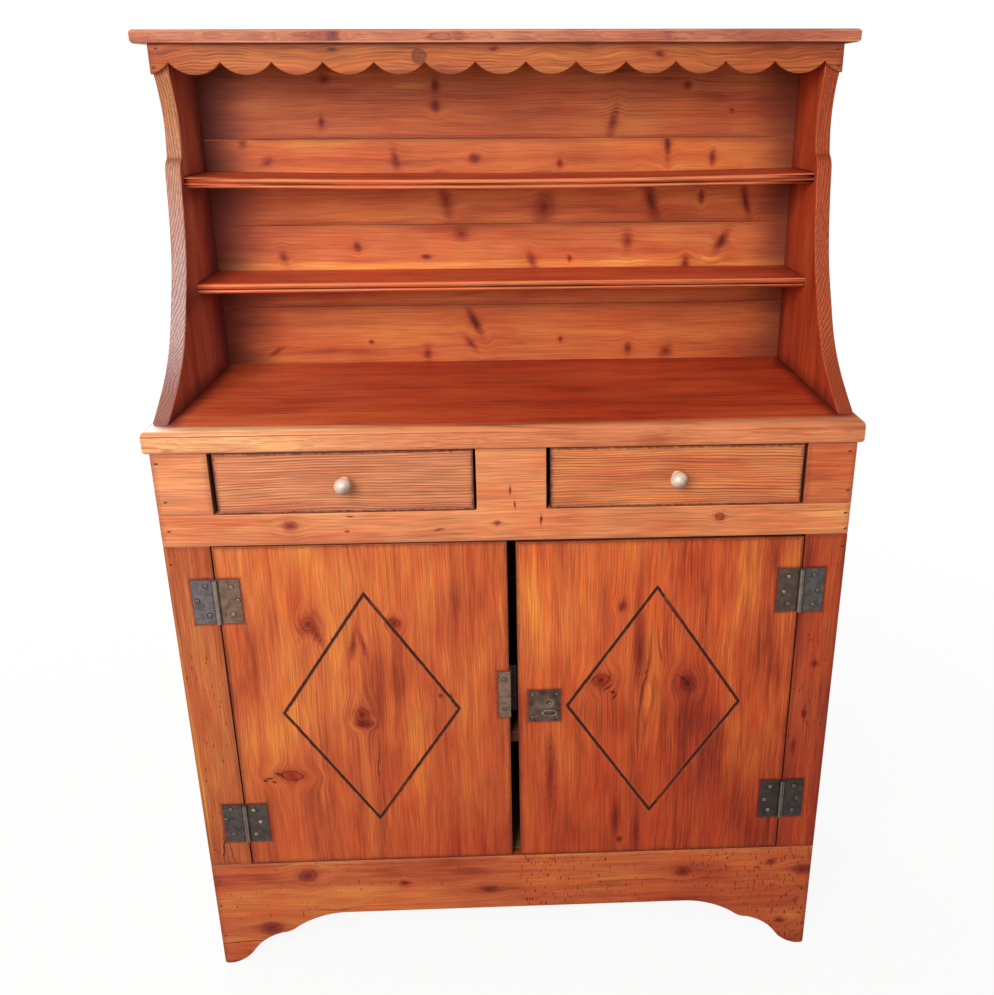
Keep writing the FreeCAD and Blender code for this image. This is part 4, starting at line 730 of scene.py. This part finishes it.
    relief = put("Math MULTIPLY_ADD", (fine, 0.5, put("Math MULTIPLY", (hollow, -1.0))))
    relief = put("Math MULTIPLY_ADD", (cloud, 2.5, relief))
    bump = put("Bump", {"Strength": 0.6, "Distance": 0.0006, "Height": relief})
    gloss = put("MapRange", (narrow, 0.3, 0.7, board.polish, board.polish + 0.16))
    shader = put("BsdfPrincipled", {"Base Color": surface, "Roughness": gloss, "Normal": bump,
        "Specular IOR Level": 0.22})
    put("OutputMaterial", {"Surface": shader})
    return material


def worn_copy(node, ease, sharp=(), shaped=False):
    """A copy of a node with its outer corners worn round, standing in for the node."""
    low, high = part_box(node)
    piece = bpy.data.objects.new(node + "_worn", frame["nodes"][node].data.copy())
    bpy.context.scene.collection.objects.link(piece)
    alone(piece)
    bpy.ops.object.mode_set(mode="EDIT")
    bpy.ops.mesh.select_mode(type="EDGE")
    bpy.ops.mesh.select_all(action="SELECT")
    bpy.ops.mesh.remove_doubles(threshold=WELD)
    bpy.ops.mesh.dissolve_limited(angle_limit=math.radians(0.5))
    bpy.ops.mesh.select_all(action="DESELECT")
    if shaped:
        bpy.ops.mesh.edges_select_sharp(sharpness=math.radians(35))
    bpy.ops.object.mode_set(mode="OBJECT")
    mesh = piece.data
    if not shaped and ease > 0:
        near = 0.05 * MM
        for edge in mesh.edges:
            ends = [mesh.vertices[v].co for v in edge.vertices]
            sides = set()
            for i, axis in enumerate("xyz"):
                for limit, name in ((low[i], axis + "0"), (high[i], axis + "1")):
                    if all(abs(p[i] - limit) < near for p in ends):
                        sides.add(name)
            edge.select = len(sides) == 2 and not sides & set(sharp)
    if ease > 0:
        bpy.ops.object.mode_set(mode="EDIT")
        bpy.ops.mesh.bevel(offset=ease, segments=2, affect="EDGES", clamp_overlap=True)
        bpy.ops.object.mode_set(mode="OBJECT")
    bpy.ops.object.shade_smooth_by_angle(angle=math.radians(38))
    even = piece.modifiers.new("even", "WEIGHTED_NORMAL")
    even.keep_sharp = True
    bpy.ops.object.modifier_apply(modifier=even.name)
    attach(piece, body_of(node))
    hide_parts(node)
    return piece


def lay_boards(nodes, shaped=()):
    """Lays worn copies of these boards, each with its own finish."""
    wood = bpy.context.scene.dresser_wood
    names = list(BOARDS) + list(INSIDE)
    for node in nodes:
        board = BOARDS.get(node) or Board("raw", shade=0.92, contrast=0.4, ease=0.4, spread=0.4)
        piece = worn_copy(node, wood.ease * board.ease, board.sharp, node in shaped)
        finish_with(piece, waxed_pine(node, board, names.index(node) + 1))


# Metal


def forged_iron(name, base, worn_share=0.6, seed=1, barrel=None, darker=(), spots=(), mottle=1.0):
    """Iron sheet and bar, browned long ago and rubbed by hands.

    Dark and uneven, with a brown bloom in clouds and bare metal on every corner. barrel: middle and half
    spacing in mm of the hinge axes, whose knuckles are rubbed bare. darker: axis, start, end and the colour
    factors at the end. spots: x and z in mm, inner and outer radius, colour and depth."""
    metal = bpy.context.scene.dresser_iron
    material, put = new_material(name)
    place = put("TexCoord", out=3)
    normal = place.node.outputs[1]
    at = dict(zip("xyz", put("SeparateXYZ", (place,)).node.outputs))
    moved = put("VectorMath", (place, (0.31 * seed, 0.17 * seed, 0.23 * seed)))
    cloud = put("TexNoise", {"Vector": moved, "Scale": 90.0, "Detail": 4.0, "Roughness": 0.65})
    speck = put("TexNoise", {"Vector": moved, "Scale": 420.0, "Detail": 2.0})
    tone = put("MapRange", (cloud, 0.38, 0.62))
    surface = put("ValToRGB", (tone,), stops=((0.0, toned(base, 0.45 ** mottle)), (0.5, toned(base, 0.95)),
        (1.0, toned(base, 1.45 ** mottle))))
    rust = put("TexNoise", {"Vector": moved, "Scale": 150.0, "Detail": 3.0})
    rust = put("MapRange", (rust, 0.5, 0.66, 0.0, 0.6 * mottle))
    surface = put("Mix", {0: rust, 6: surface, 7: toned(metal.rust, 1.0)}, **COVER)
    if barrel:
        off = away(put, at["x"], barrel[0] * MM)
        off = away(put, off, barrel[1] * MM)
        knuckle = put("MapRange", (off, 3.6 * MM, 2.2 * MM, 0.0, 0.5))
        knuckle = put("Math MULTIPLY", (knuckle, put("MapRange", (cloud, 0.4, 0.55, 0.45, 1.0))))
        surface = put("Mix", {0: knuckle, 6: surface, 7: toned(metal.worn, 1.0)}, **COVER)
        root = put("MapRange", (off, 6.5 * MM, 4.6 * MM, 0.0, 0.6))
        root = put("Math MULTIPLY", (root, put("MapRange", (off, 3.4 * MM, 4.2 * MM))))
        surface = put("Mix", {0: root, 6: surface, 7: toned(metal.rust, 0.35)}, **COVER)
    # Colour factors over a span; the hinges and the keep use them to paint shade
    for axis, start, end, factors in darker:
        share = put("MapRange", (at[axis], start * MM, end * MM))
        surface = put("Mix", {0: share, 6: surface, 7: (*factors, 1)}, **TINT)
    # Round spots of colour, which on the lock plate paint the shadow in the eye's recess
    for x, z, inner, outer, spot, depth in spots:
        off = put("VectorMath SUBTRACT", (place, (x * MM, 0, z * MM)))
        off = put("VectorMath MULTIPLY", (off, (1, 0, 1)))
        off = put("VectorMath LENGTH", (off,), out=1)
        off = put("Math MULTIPLY_ADD", (cloud, 0.5 * MM, off))
        share = put("MapRange", (off, outer * MM, inner * MM, 0.0, depth))
        surface = put("Mix", {0: share, 6: surface, 7: (*linear(spot), 1)}, **COVER)
    steep = put("VectorMath ABSOLUTE", (normal,))
    steep = dict(zip("xyz", put("SeparateXYZ", (steep,)).node.outputs))
    flat = put("Math MAXIMUM", (steep["x"], steep["y"]))
    flat = put("Math MAXIMUM", (flat, steep["z"]))
    rub = put("MapRange", (flat, 0.985, 0.86, 0.0, worn_share))
    speckle = put("MapRange", (speck, 0.6, 0.72, 0.0, 0.35 * worn_share))
    rub = put("Math MAXIMUM", (rub, speckle))
    surface = put("Mix", {0: rub, 6: surface, 7: toned(metal.worn, 1.0)}, **COVER)
    relief = put("Math MULTIPLY_ADD", (speck, 0.4, cloud))
    bump = put("Bump", {"Strength": 0.5, "Distance": 0.0004, "Height": relief})
    metallic = put("MapRange", (rust, 0.0, 0.6, 0.55, 0.15))
    gloss = put("MapRange", (cloud, 0.3, 0.7, 0.66, 0.48))
    shader = put("BsdfPrincipled", {"Base Color": surface, "Metallic": metallic, "Roughness": gloss,
        "Normal": bump, "Specular IOR Level": 0.35})
    put("OutputMaterial", {"Surface": shader})
    return material


def aged_brass():
    """Turned brass, long handled: a warm pale metal, brown in patches that hands don't reach and darker on its
    lower right side, where shade is painted.
    """
    metal = bpy.context.scene.dresser_iron
    material, put = new_material("aged_brass")
    place = put("TexCoord", out=3)
    # The lower right side is painted darker as shade, mixed with brown patches
    under = put("VectorMath DOT_PRODUCT", (place.node.outputs[1], (0.55, -0.1, -0.8)), out=1)
    cloud = put("TexNoise", {"Vector": place, "Scale": 170.0, "Detail": 3.0, "Roughness": 0.6})
    speck = put("TexNoise", {"Vector": place, "Scale": 600.0, "Detail": 2.0})
    under = put("Math MULTIPLY_ADD", (cloud, 0.9, under))
    bloom = put("MapRange", (under, 0.1, 1.0, 0.05, 0.9))
    surface = put("Mix", {0: bloom, 6: toned(metal.brass, 1.0), 7: toned(metal.patina_and_shade, 1.0)}, **COVER)
    pale = put("MapRange", (speck, 0.5, 0.7, 0.0, 0.25))
    surface = put("Mix", {0: pale, 6: surface, 7: toned(metal.brass, 1.1)}, **COVER)
    gloss = put("MapRange", (bloom, 0.0, 0.65, 0.45, 0.62))
    bump = put("Bump", {"Strength": 0.4, "Distance": 0.0003, "Height": cloud})
    shader = put("BsdfPrincipled", {"Base Color": surface, "Metallic": 0.2, "Roughness": gloss, "Normal": bump})
    put("OutputMaterial", {"Surface": shader})
    return material


def turned(profile, steps=32):
    """A piece turned about +Z: a disc that is drawn out and resized ring by ring along (radius, height)."""
    first = profile[0]
    bpy.ops.object.select_all(action="DESELECT")
    bpy.ops.mesh.primitive_circle_add(vertices=steps, radius=first[0], fill_type="NGON",
                                      location=(0, 0, first[1]))
    piece = bpy.context.object
    bpy.ops.object.mode_set(mode="EDIT")
    bpy.ops.mesh.select_all(action="SELECT")
    for (r0, z0), (r1, z1) in zip(profile, profile[1:]):
        bpy.ops.mesh.extrude_region_move(TRANSFORM_OT_translate={"value": (0, 0, z1 - z0)})
        share = max(r1, 0.01 * MM) / r0
        bpy.ops.transform.resize(value=(share, share, 1), center_override=(0, 0, z1))
    bpy.ops.mesh.select_all(action="SELECT")
    bpy.ops.mesh.normals_make_consistent(inside=False)
    bpy.ops.object.mode_set(mode="OBJECT")
    bpy.ops.object.shade_smooth_by_angle(angle=math.radians(40))
    return piece


def copied(piece, place, spin=0.0, share=1.0):
    """A copy of a piece made about +Z, turned to face the front with its foot at this place."""
    twin = bpy.data.objects.new(piece.name + "_copy", piece.data.copy())
    bpy.context.scene.collection.objects.link(twin)
    twin.data.transform(Matrix.Translation(Vector(place)) @ Matrix.Rotation(math.pi / 2, 4, "X")
                        @ Matrix.Rotation(spin, 4, "Z") @ Matrix.Scale(share, 4))
    return twin


def leave_out(piece):
    """Takes away the pattern piece once its copies are made."""
    mesh = piece.data
    bpy.data.objects.remove(piece)
    bpy.data.meshes.remove(mesh)


# Camera worked out from the photograph's edges
EYE_PLACE = (-3.3, -1565.7, 1383.3)  # mm
EYE_PITCH, EYE_YAW, EYE_ROLL = 21.248, 2.389, 0.228  # degrees
EYE_SENSOR, EYE_LENS, EYE_SHIFT = 36.0, 37.29, -0.050  # mm, mm, share of the picture's width
LAMP_AIM = Vector((0, 0, 0.8))  # metres

# Places of screws and nails: x and z in mm, turn of the slot in degrees
HINGE_AXES = (2.0, 434.5)  # middle between the two hinge axes, and their distance from it
FRAME_SCREWS = (
    (-446.5, 717, 20), (-461, 693, 70), (-445.4, 669, 140), (-455, 320, 60), (-464, 301, 10), (-455, 272, 100),
    (456, 713, 30), (463, 688, 80), (457, 664, 0), (456, 333, 120), (463, 309, 40), (457, 285, 15))
LEFT_DOOR_SCREWS = (
    (-409.8, 715, 35), (-402.4, 693, 100), (-411.2, 670, 60), (-419, 317.5, 0), (-410, 295, 50),
    (-419, 270.5, 110))
RIGHT_DOOR_SCREWS = (
    (417, 712, 150), (411, 687, 20), (419, 667, 75), (417.6, 333, 45), (409, 308, 95), (416.6, 287, 160))
KEEP_SCREWS = ((-12.5, 547, 40), (-12.5, 494, 110))
PLATE_SCREWS = ((31, 518.5, 30), (68.5, 518.5, 100), (31, 477.5, 65), (68.5, 477.5, 10))
LOCK_EYE = (57.0, 504.0)
NAILS = {
    "plinth_board": ((-489, 175), (-493, 124), (-493, 60), (488, 120), (486, 68), (487, 18)),
    "drawer_post_left": ((-492, 907), (-487, 849)),
    "drawer_post_right": ((490, 908), (493, 848)),
    "drawer_rail": ((-488, 804), (493, 813), (495, 788)),
    "stile_right": ((494, 759), (493, 235)),
    "stile_left": ((-492, 752), (-490, 240)),
    "valance": ((-488, 1449), (490, 1446), (-494, 1424), (494, 1424)),
}


class OBJECT_OT_dresser_frame(bpy.types.Operator):
    """Lay the boards of the base: plinth, stiles, rail, posts, sides, bottom, shelf, runners and back"""

    bl_idname = "dresser.frame_boards"
    bl_label = "Base boards"

    def execute(self, context):
        lay_boards([n for n in frame["nodes"] if n.startswith(("stile_", "drawer_", "base_")) or n in (
            "plinth_board", "bottom_board", "inner_shelf", "shelf_cleats", "counter_top")],
            shaped=("plinth_board", "base_side_left", "base_side_right", "drawer_rail"))
        return {"FINISHED"}


class OBJECT_OT_dresser_rack(bpy.types.Operator):
    """Lay the boards of the plate rack: sides, shelves, back, valance and cornice"""

    bl_idname = "dresser.rack_boards"
    bl_label = "Rack boards"

    def execute(self, context):
        lay_boards([n for n in frame["nodes"] if n.startswith("rack_") or n in ("valance", "cornice_board")],
                   shaped=("rack_side_left", "rack_side_right", "valance"))
        return {"FINISHED"}


class OBJECT_OT_dresser_doors(bpy.types.Operator):
    """Lay the boards and ledges of both doors"""

    bl_idname = "dresser.door_boards"
    bl_label = "Doors"

    def execute(self, context):
        lay_boards([n for n in frame["nodes"] if "door_board" in n or n.endswith("door_ledges")])
        return {"FINISHED"}


class OBJECT_OT_dresser_drawers(bpy.types.Operator):
    """Lay the fronts, sides, backs and bottoms of both drawers"""

    bl_idname = "dresser.drawer_boards"
    bl_label = "Drawers"

    def execute(self, context):
        lay_boards([n for n in frame["nodes"] if "_drawer_" in n and not n.endswith("knob")])
        return {"FINISHED"}


class OBJECT_OT_dresser_hinges(bpy.types.Operator):
    """Finish the four butt hinges"""

    bl_idname = "dresser.hinges"
    bl_label = "Hinges"

    def execute(self, context):
        metal = context.scene.dresser_iron
        # The lower leaves, and the frame's leaves on the right, are painted darker as shade where the light falls
        # off
        finishes = {
            "frame_hinge_leaves": forged_iron(
                "forged_iron_blued", metal.blued, 0.5, 3, HINGE_AXES, mottle=0.45,
                darker=(("z", 600, 400, (0.52, 0.47, 0.44)), ("x", -300, 300, (0.64, 0.70, 0.66)))),
            "left_door_hinge_leaves": forged_iron(
                "forged_iron_browned", metal.iron, 0.5, 7, HINGE_AXES, mottle=0.45,
                darker=(("z", 600, 400, (0.36, 0.48, 0.56)),)),
            "right_door_hinge_leaves": forged_iron(
                "forged_iron_dark", toned(metal.iron, (0.52, 0.56, 0.60)), 0.4, 11, HINGE_AXES, mottle=0.5,
                darker=(("z", 600, 400, (0.43, 0.53, 0.64)),)),
        }
        for node, finish in finishes.items():
            piece = worn_copy(node, 0.35 * MM, shaped=True)
            finish_with(piece, finish)
        dress("hinge_pins", finishes["frame_hinge_leaves"])
        return {"FINISHED"}


class OBJECT_OT_dresser_lock(bpy.types.Operator):
    """Finish the lock plate, the case, the bolt and the keep"""

    bl_idname = "dresser.lock"
    bl_label = "Lock and keep"

    def execute(self, context):
        metal = context.scene.dresser_iron
        x, z = LOCK_EYE
        # The plate's spots: a paler middle and a pale boss round the lock's eye, a painted crescent of shadow in
        # its recess, and the pin pale as lit
        plate = forged_iron("forged_iron_plate", toned(metal.iron, (0.52, 0.48, 0.48)), 0.25, 5,
            spots=((50, 498, 4, 22, "#84705F", 0.5), (x, z, 6.0, 7.2, "#98846F", 0.7),
            (x - 1.0, z + 0.6, 4.2, 5.2, "#1C1310", 0.85), (x + 0.6, z - 0.4, 2.4, 3.4, "#8E7B68", 0.9)))
        # The keep's web, inside the gap between the doors, is painted nearly black as shade
        keep = forged_iron("forged_iron_keep", toned(metal.worn, (0.62, 0.50, 0.48)), 0.3, 9, mottle=0.5,
                           darker=(("x", -3, -1, (0.14, 0.12, 0.12)),))
        for node, finish in (("lock_plate", plate), ("lock_keep", keep)):
            piece = worn_copy(node, 0.25 * MM, shaped=True)
            finish_with(piece, finish)
        dress("lock_case", plate)
        dress("lock_bolt", keep)
        return {"FINISHED"}


class OBJECT_OT_dresser_loop(bpy.types.Operator):
    """Bend the drop loop of the lock from round wire"""

    bl_idname = "dresser.drop_loop"
    bl_label = "Drop loop"

    def execute(self, context):
        metal = context.scene.dresser_iron
        low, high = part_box("ring_pull")
        bar = 0.9 * MM
        tall = (high.z - low.z) / 2 - bar
        long = ((high.x - low.x) / 2 - bar) / tall
        bpy.ops.object.select_all(action="DESELECT")
        bpy.ops.mesh.primitive_torus_add(major_segments=48, minor_segments=12, major_radius=tall,
                                         minor_radius=bar, rotation=(math.pi / 2, 0, 0))
        piece = context.object
        bpy.ops.object.transform_apply(location=False, rotation=True, scale=False)
        bpy.ops.object.mode_set(mode="EDIT")
        bpy.ops.mesh.select_all(action="SELECT")
        bpy.ops.transform.resize(value=(long, 1, 1), center_override=(0, 0, 0))
        bpy.ops.object.mode_set(mode="OBJECT")
        alone(piece)
        bpy.ops.object.shade_smooth()
        piece.location = (low + high) / 2
        settle(piece, "drop_loop", forged_iron("forged_iron_loop", toned(metal.worn, 0.5), 0.4, 2), "ring_pull")
        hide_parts("ring_pull")
        return {"FINISHED"}


class OBJECT_OT_dresser_knobs(bpy.types.Operator):
    """Turn the two ball knobs of the drawers"""

    bl_idname = "dresser.knobs"
    bl_label = "Knobs"

    def execute(self, context):
        finish = aged_brass()
        low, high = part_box("left_drawer_knob")
        ball = (high.x - low.x) / 2
        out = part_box("left_drawer_front")[0].y - low.y
        profile = [(8.0 * MM, 0.0), (8.0 * MM, 1.2 * MM), (7.2 * MM, 2.2 * MM), (5.2 * MM, 3.0 * MM),
                   (4.8 * MM, 4.4 * MM), (5.4 * MM, 5.8 * MM)]
        centre = out - ball
        for i in range(2, 17):
            angle = math.pi * (i / 17 - 0.5)
            profile.append((ball * math.cos(angle), centre + ball * math.sin(angle)))
        profile.append((0.9 * MM, out))
        pattern = turned(profile, 40)
        for side in ("left", "right"):
            node = side + "_drawer_knob"
            low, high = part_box(node)
            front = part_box(side + "_drawer_front")[0].y
            piece = copied(pattern, ((low.x + high.x) / 2, front, (low.z + high.z) / 2))
            settle(piece, side + "_ball_knob", finish, side + "_drawer")
            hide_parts(node)
        leave_out(pattern)
        return {"FINISHED"}


class OBJECT_OT_dresser_screws(bpy.types.Operator):
    """Set the slotted screws of the hinges, the lock plate and the keep in their sinkings"""

    bl_idname = "dresser.screws"
    bl_label = "Screws"

    def execute(self, context):
        metal = context.scene.dresser_iron
        head, sink = metal.screw_head, metal.screw_sink
        pattern = turned([(sink, -0.2 * MM), (sink, 0.05 * MM), (head, 0.06 * MM), (head, 0.4 * MM),
                          (0.86 * head, 0.8 * MM), (0.6 * head, 1.1 * MM), (0.3 * head, 1.25 * MM),
                          (0.08 * head, 1.28 * MM)], 20)
        bpy.ops.object.select_all(action="DESELECT")
        bpy.ops.mesh.primitive_cube_add(size=1.0, location=(0, 0, 1.35 * MM))
        slot = context.object
        slot.scale = (2.0 * head, metal.screw_slot, 1.5 * MM)
        alone(slot)
        bpy.ops.object.transform_apply(location=True, rotation=True, scale=True)
        cut = pattern.modifiers.new("slot", "BOOLEAN")
        cut.operation = "DIFFERENCE"
        cut.object = slot
        alone(pattern)
        bpy.ops.object.modifier_apply(modifier=cut.name)
        leave_out(slot)
        # A dark disc round each head: rust, with the painted shade of the sinking
        sinking = forged_iron("forged_iron_sinking", toned(metal.rust, 0.35), 0.1, 6)
        for name, body, face, share, base, places in (
                ("frame", "base", LEAF_FACE, 1.0, toned(metal.blued, 0.7), FRAME_SCREWS),
                ("left_door", "left_door", LEAF_FACE, 1.0, toned(metal.worn, (1.0, 0.9, 0.9)), LEFT_DOOR_SCREWS),
                ("right_door", "right_door", LEAF_FACE, 1.0, toned(metal.worn, 0.7), RIGHT_DOOR_SCREWS),
                ("keep", "left_door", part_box("lock_keep")[0].y, 0.9, toned(metal.worn, 0.45), KEEP_SCREWS),
                ("plate", "right_door", PLATE_FACE, 0.8, toned(metal.worn, 0.45), PLATE_SCREWS)):
            finish = forged_iron("forged_iron_screw_" + name, base, 0.5, 4)
            for i, (x, z, spin) in enumerate(places):
                piece = copied(pattern, (x * MM, face, z * MM), math.radians(spin), share)
                settle(piece, "screw_%s_%d" % (name, i), finish, body)
                piece.data.materials.append(sinking)
                for side in piece.data.polygons:
                    out = math.hypot(side.center.x - x * MM, side.center.z - z * MM)
                    side.material_index = int(out > 1.02 * share * head)
        leave_out(pattern)
        return {"FINISHED"}


class OBJECT_OT_dresser_nails(bpy.types.Operator):
    """Drive the cut nails of the frame and the valance"""

    bl_idname = "dresser.nails"
    bl_label = "Nails"

    def execute(self, context):
        metal = context.scene.dresser_iron
        finish = forged_iron("forged_iron_nails", toned(metal.rust, (2.6, 1.5, 1.5)), 0.1, 8, mottle=0.4)
        half = metal.nail_head
        bpy.ops.object.select_all(action="DESELECT")
        bpy.ops.mesh.primitive_cube_add(size=2.0)
        pattern = context.object
        pattern.scale = (half, 0.5 * half, 0.5 * MM)
        bpy.ops.object.transform_apply(location=True, rotation=True, scale=True)
        bpy.ops.object.mode_set(mode="EDIT")
        bpy.ops.mesh.select_all(action="SELECT")
        bpy.ops.mesh.bevel(offset=0.35 * MM, segments=2, affect="EDGES")
        bpy.ops.object.mode_set(mode="OBJECT")
        for node, places in NAILS.items():
            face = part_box(node)[0].y
            for i, (x, z) in enumerate(places):
                piece = copied(pattern, (x * MM, face + 0.25 * MM, z * MM), 0.2 * i)
                settle(piece, "nail_%s_%d" % (node, i), finish, body_of(node))
        leave_out(pattern)
        return {"FINISHED"}


class OBJECT_OT_dresser_stage(bpy.types.Operator):
    """Set the floor, the soft light and the camera"""

    bl_idname = "dresser.stage"
    bl_label = "Stage"

    def execute(self, context):
        stage = context.scene.dresser_stage
        bpy.ops.object.select_all(action="DESELECT")
        bpy.ops.mesh.primitive_plane_add(size=12.0, location=(0, 0, 0))
        floor = context.object
        floor.name = "floor"
        material, put = new_material("pale_floor")
        place = put("TexCoord", out=3)
        grain = put("TexNoise", {"Vector": place, "Scale": 260.0, "Detail": 2.0})
        bump = put("Bump", {"Strength": 0.1, "Distance": 0.0004, "Height": grain})
        matt = put("BsdfPrincipled", {"Base Color": toned(stage.floor, 1.0), "Roughness": 0.8,
            "Specular IOR Level": 0.2, "Normal": bump})
        glow = put("Emission", {"Color": (1, 1, 1, 1), "Strength": 1.0})
        far = put("VectorMath LENGTH", (place,), out=1)
        white = put("MapRange", (far, 0.5, 2.2, 0.92, 1.0), **EASED)
        seen = put("LightPath").node.outputs["Is Camera Ray"]
        seen = put("Math MULTIPLY", (seen, white))
        put("OutputMaterial", {"Surface": put("MixShader", (seen, matt, glow))})
        floor.data.materials.append(material)

        world = bpy.data.worlds.new("studio")
        context.scene.world = world
        world.use_nodes = True
        world.node_tree.nodes.clear()
        put = partial(add, world.node_tree)
        seen = put("LightPath").node.outputs["Is Camera Ray"]
        soft = put("Background", {"Color": (1, 0.98, 0.96, 1), "Strength": stage.sky})
        white = put("Background", {"Color": (1, 1, 1, 1), "Strength": 1.0})
        put("OutputWorld", {"Surface": put("MixShader", (seen, soft, white))})

        for name, place, size, power in (("key", (-0.9, -2.0, 1.95), 1.3, stage.key),
                                         ("fill", (2.2, -2.4, 1.5), 2.0, stage.fill),
                                         ("window", (-1.15, 1.6, 1.5), 0.9, stage.window)):
            light = bpy.data.lights.new(name, "AREA")
            light.energy = power
            light.size = size
            lamp = bpy.data.objects.new(name, light)
            context.scene.collection.objects.link(lamp)
            lamp.location = place
            lamp.rotation_euler = (LAMP_AIM - Vector(place)).to_track_quat("-Z", "Y").to_euler()

        eye = bpy.data.cameras.new("camera")
        eye.sensor_width = EYE_SENSOR
        eye.lens = EYE_LENS
        eye.shift_x = EYE_SHIFT
        camera = bpy.data.objects.new("camera", eye)
        context.scene.collection.objects.link(camera)
        pitch, yaw, roll = (math.radians(a) for a in (EYE_PITCH, EYE_YAW, EYE_ROLL))
        camera.location = [n * MM for n in EYE_PLACE]
        camera.rotation_euler = (Matrix.Rotation(-yaw, 4, "Z") @ Matrix.Rotation(math.pi / 2 - pitch, 4, "X")
                                 @ Matrix.Rotation(-roll, 4, "Z")).to_euler()
        context.scene.camera = camera
        context.scene.view_settings.view_transform = "Standard"
        return {"FINISHED"}


PIECES = (
    OBJECT_OT_dresser_frame, OBJECT_OT_dresser_rack, OBJECT_OT_dresser_doors, OBJECT_OT_dresser_drawers,
    OBJECT_OT_dresser_hinges, OBJECT_OT_dresser_lock, OBJECT_OT_dresser_loop, OBJECT_OT_dresser_knobs,
    OBJECT_OT_dresser_screws, OBJECT_OT_dresser_nails, OBJECT_OT_dresser_stage,
)


class VIEW3D_PT_dresser(bpy.types.Panel):
    """Sizes, colours and pieces of the dresser"""

    bl_label = "Dresser"
    bl_idname = "VIEW3D_PT_dresser"
    bl_space_type = "VIEW_3D"
    bl_region_type = "UI"
    bl_category = "Dresser"

    def draw(self, context):
        for group in (context.scene.dresser_wood, context.scene.dresser_iron, context.scene.dresser_stage):
            box = self.layout.box()
            for name in group.__annotations__:
                box.prop(group, name)
        for piece in PIECES:
            self.layout.operator(piece.bl_idname)


CLASSES = (DresserWood, DresserIron, DresserStage) + PIECES + (VIEW3D_PT_dresser,)


def register():
    for cls in CLASSES:
        bpy.utils.register_class(cls)
    bpy.types.Scene.dresser_wood = PointerProperty(type=DresserWood)
    bpy.types.Scene.dresser_iron = PointerProperty(type=DresserIron)
    bpy.types.Scene.dresser_stage = PointerProperty(type=DresserStage)


def unregister():
    del bpy.types.Scene.dresser_stage
    del bpy.types.Scene.dresser_iron
    del bpy.types.Scene.dresser_wood
    for cls in reversed(CLASSES):
        bpy.utils.unregister_class(cls)


def main():
    """Builds the whole dresser."""
    register()
    bpy.ops.dresser.frame_boards()
    bpy.ops.dresser.rack_boards()
    bpy.ops.dresser.door_boards()
    bpy.ops.dresser.drawer_boards()
    bpy.ops.dresser.hinges()
    bpy.ops.dresser.lock()
    bpy.ops.dresser.drop_loop()
    bpy.ops.dresser.knobs()
    bpy.ops.dresser.screws()
    bpy.ops.dresser.nails()
    bpy.ops.dresser.stage()


if __name__ == "__main__":
    main()
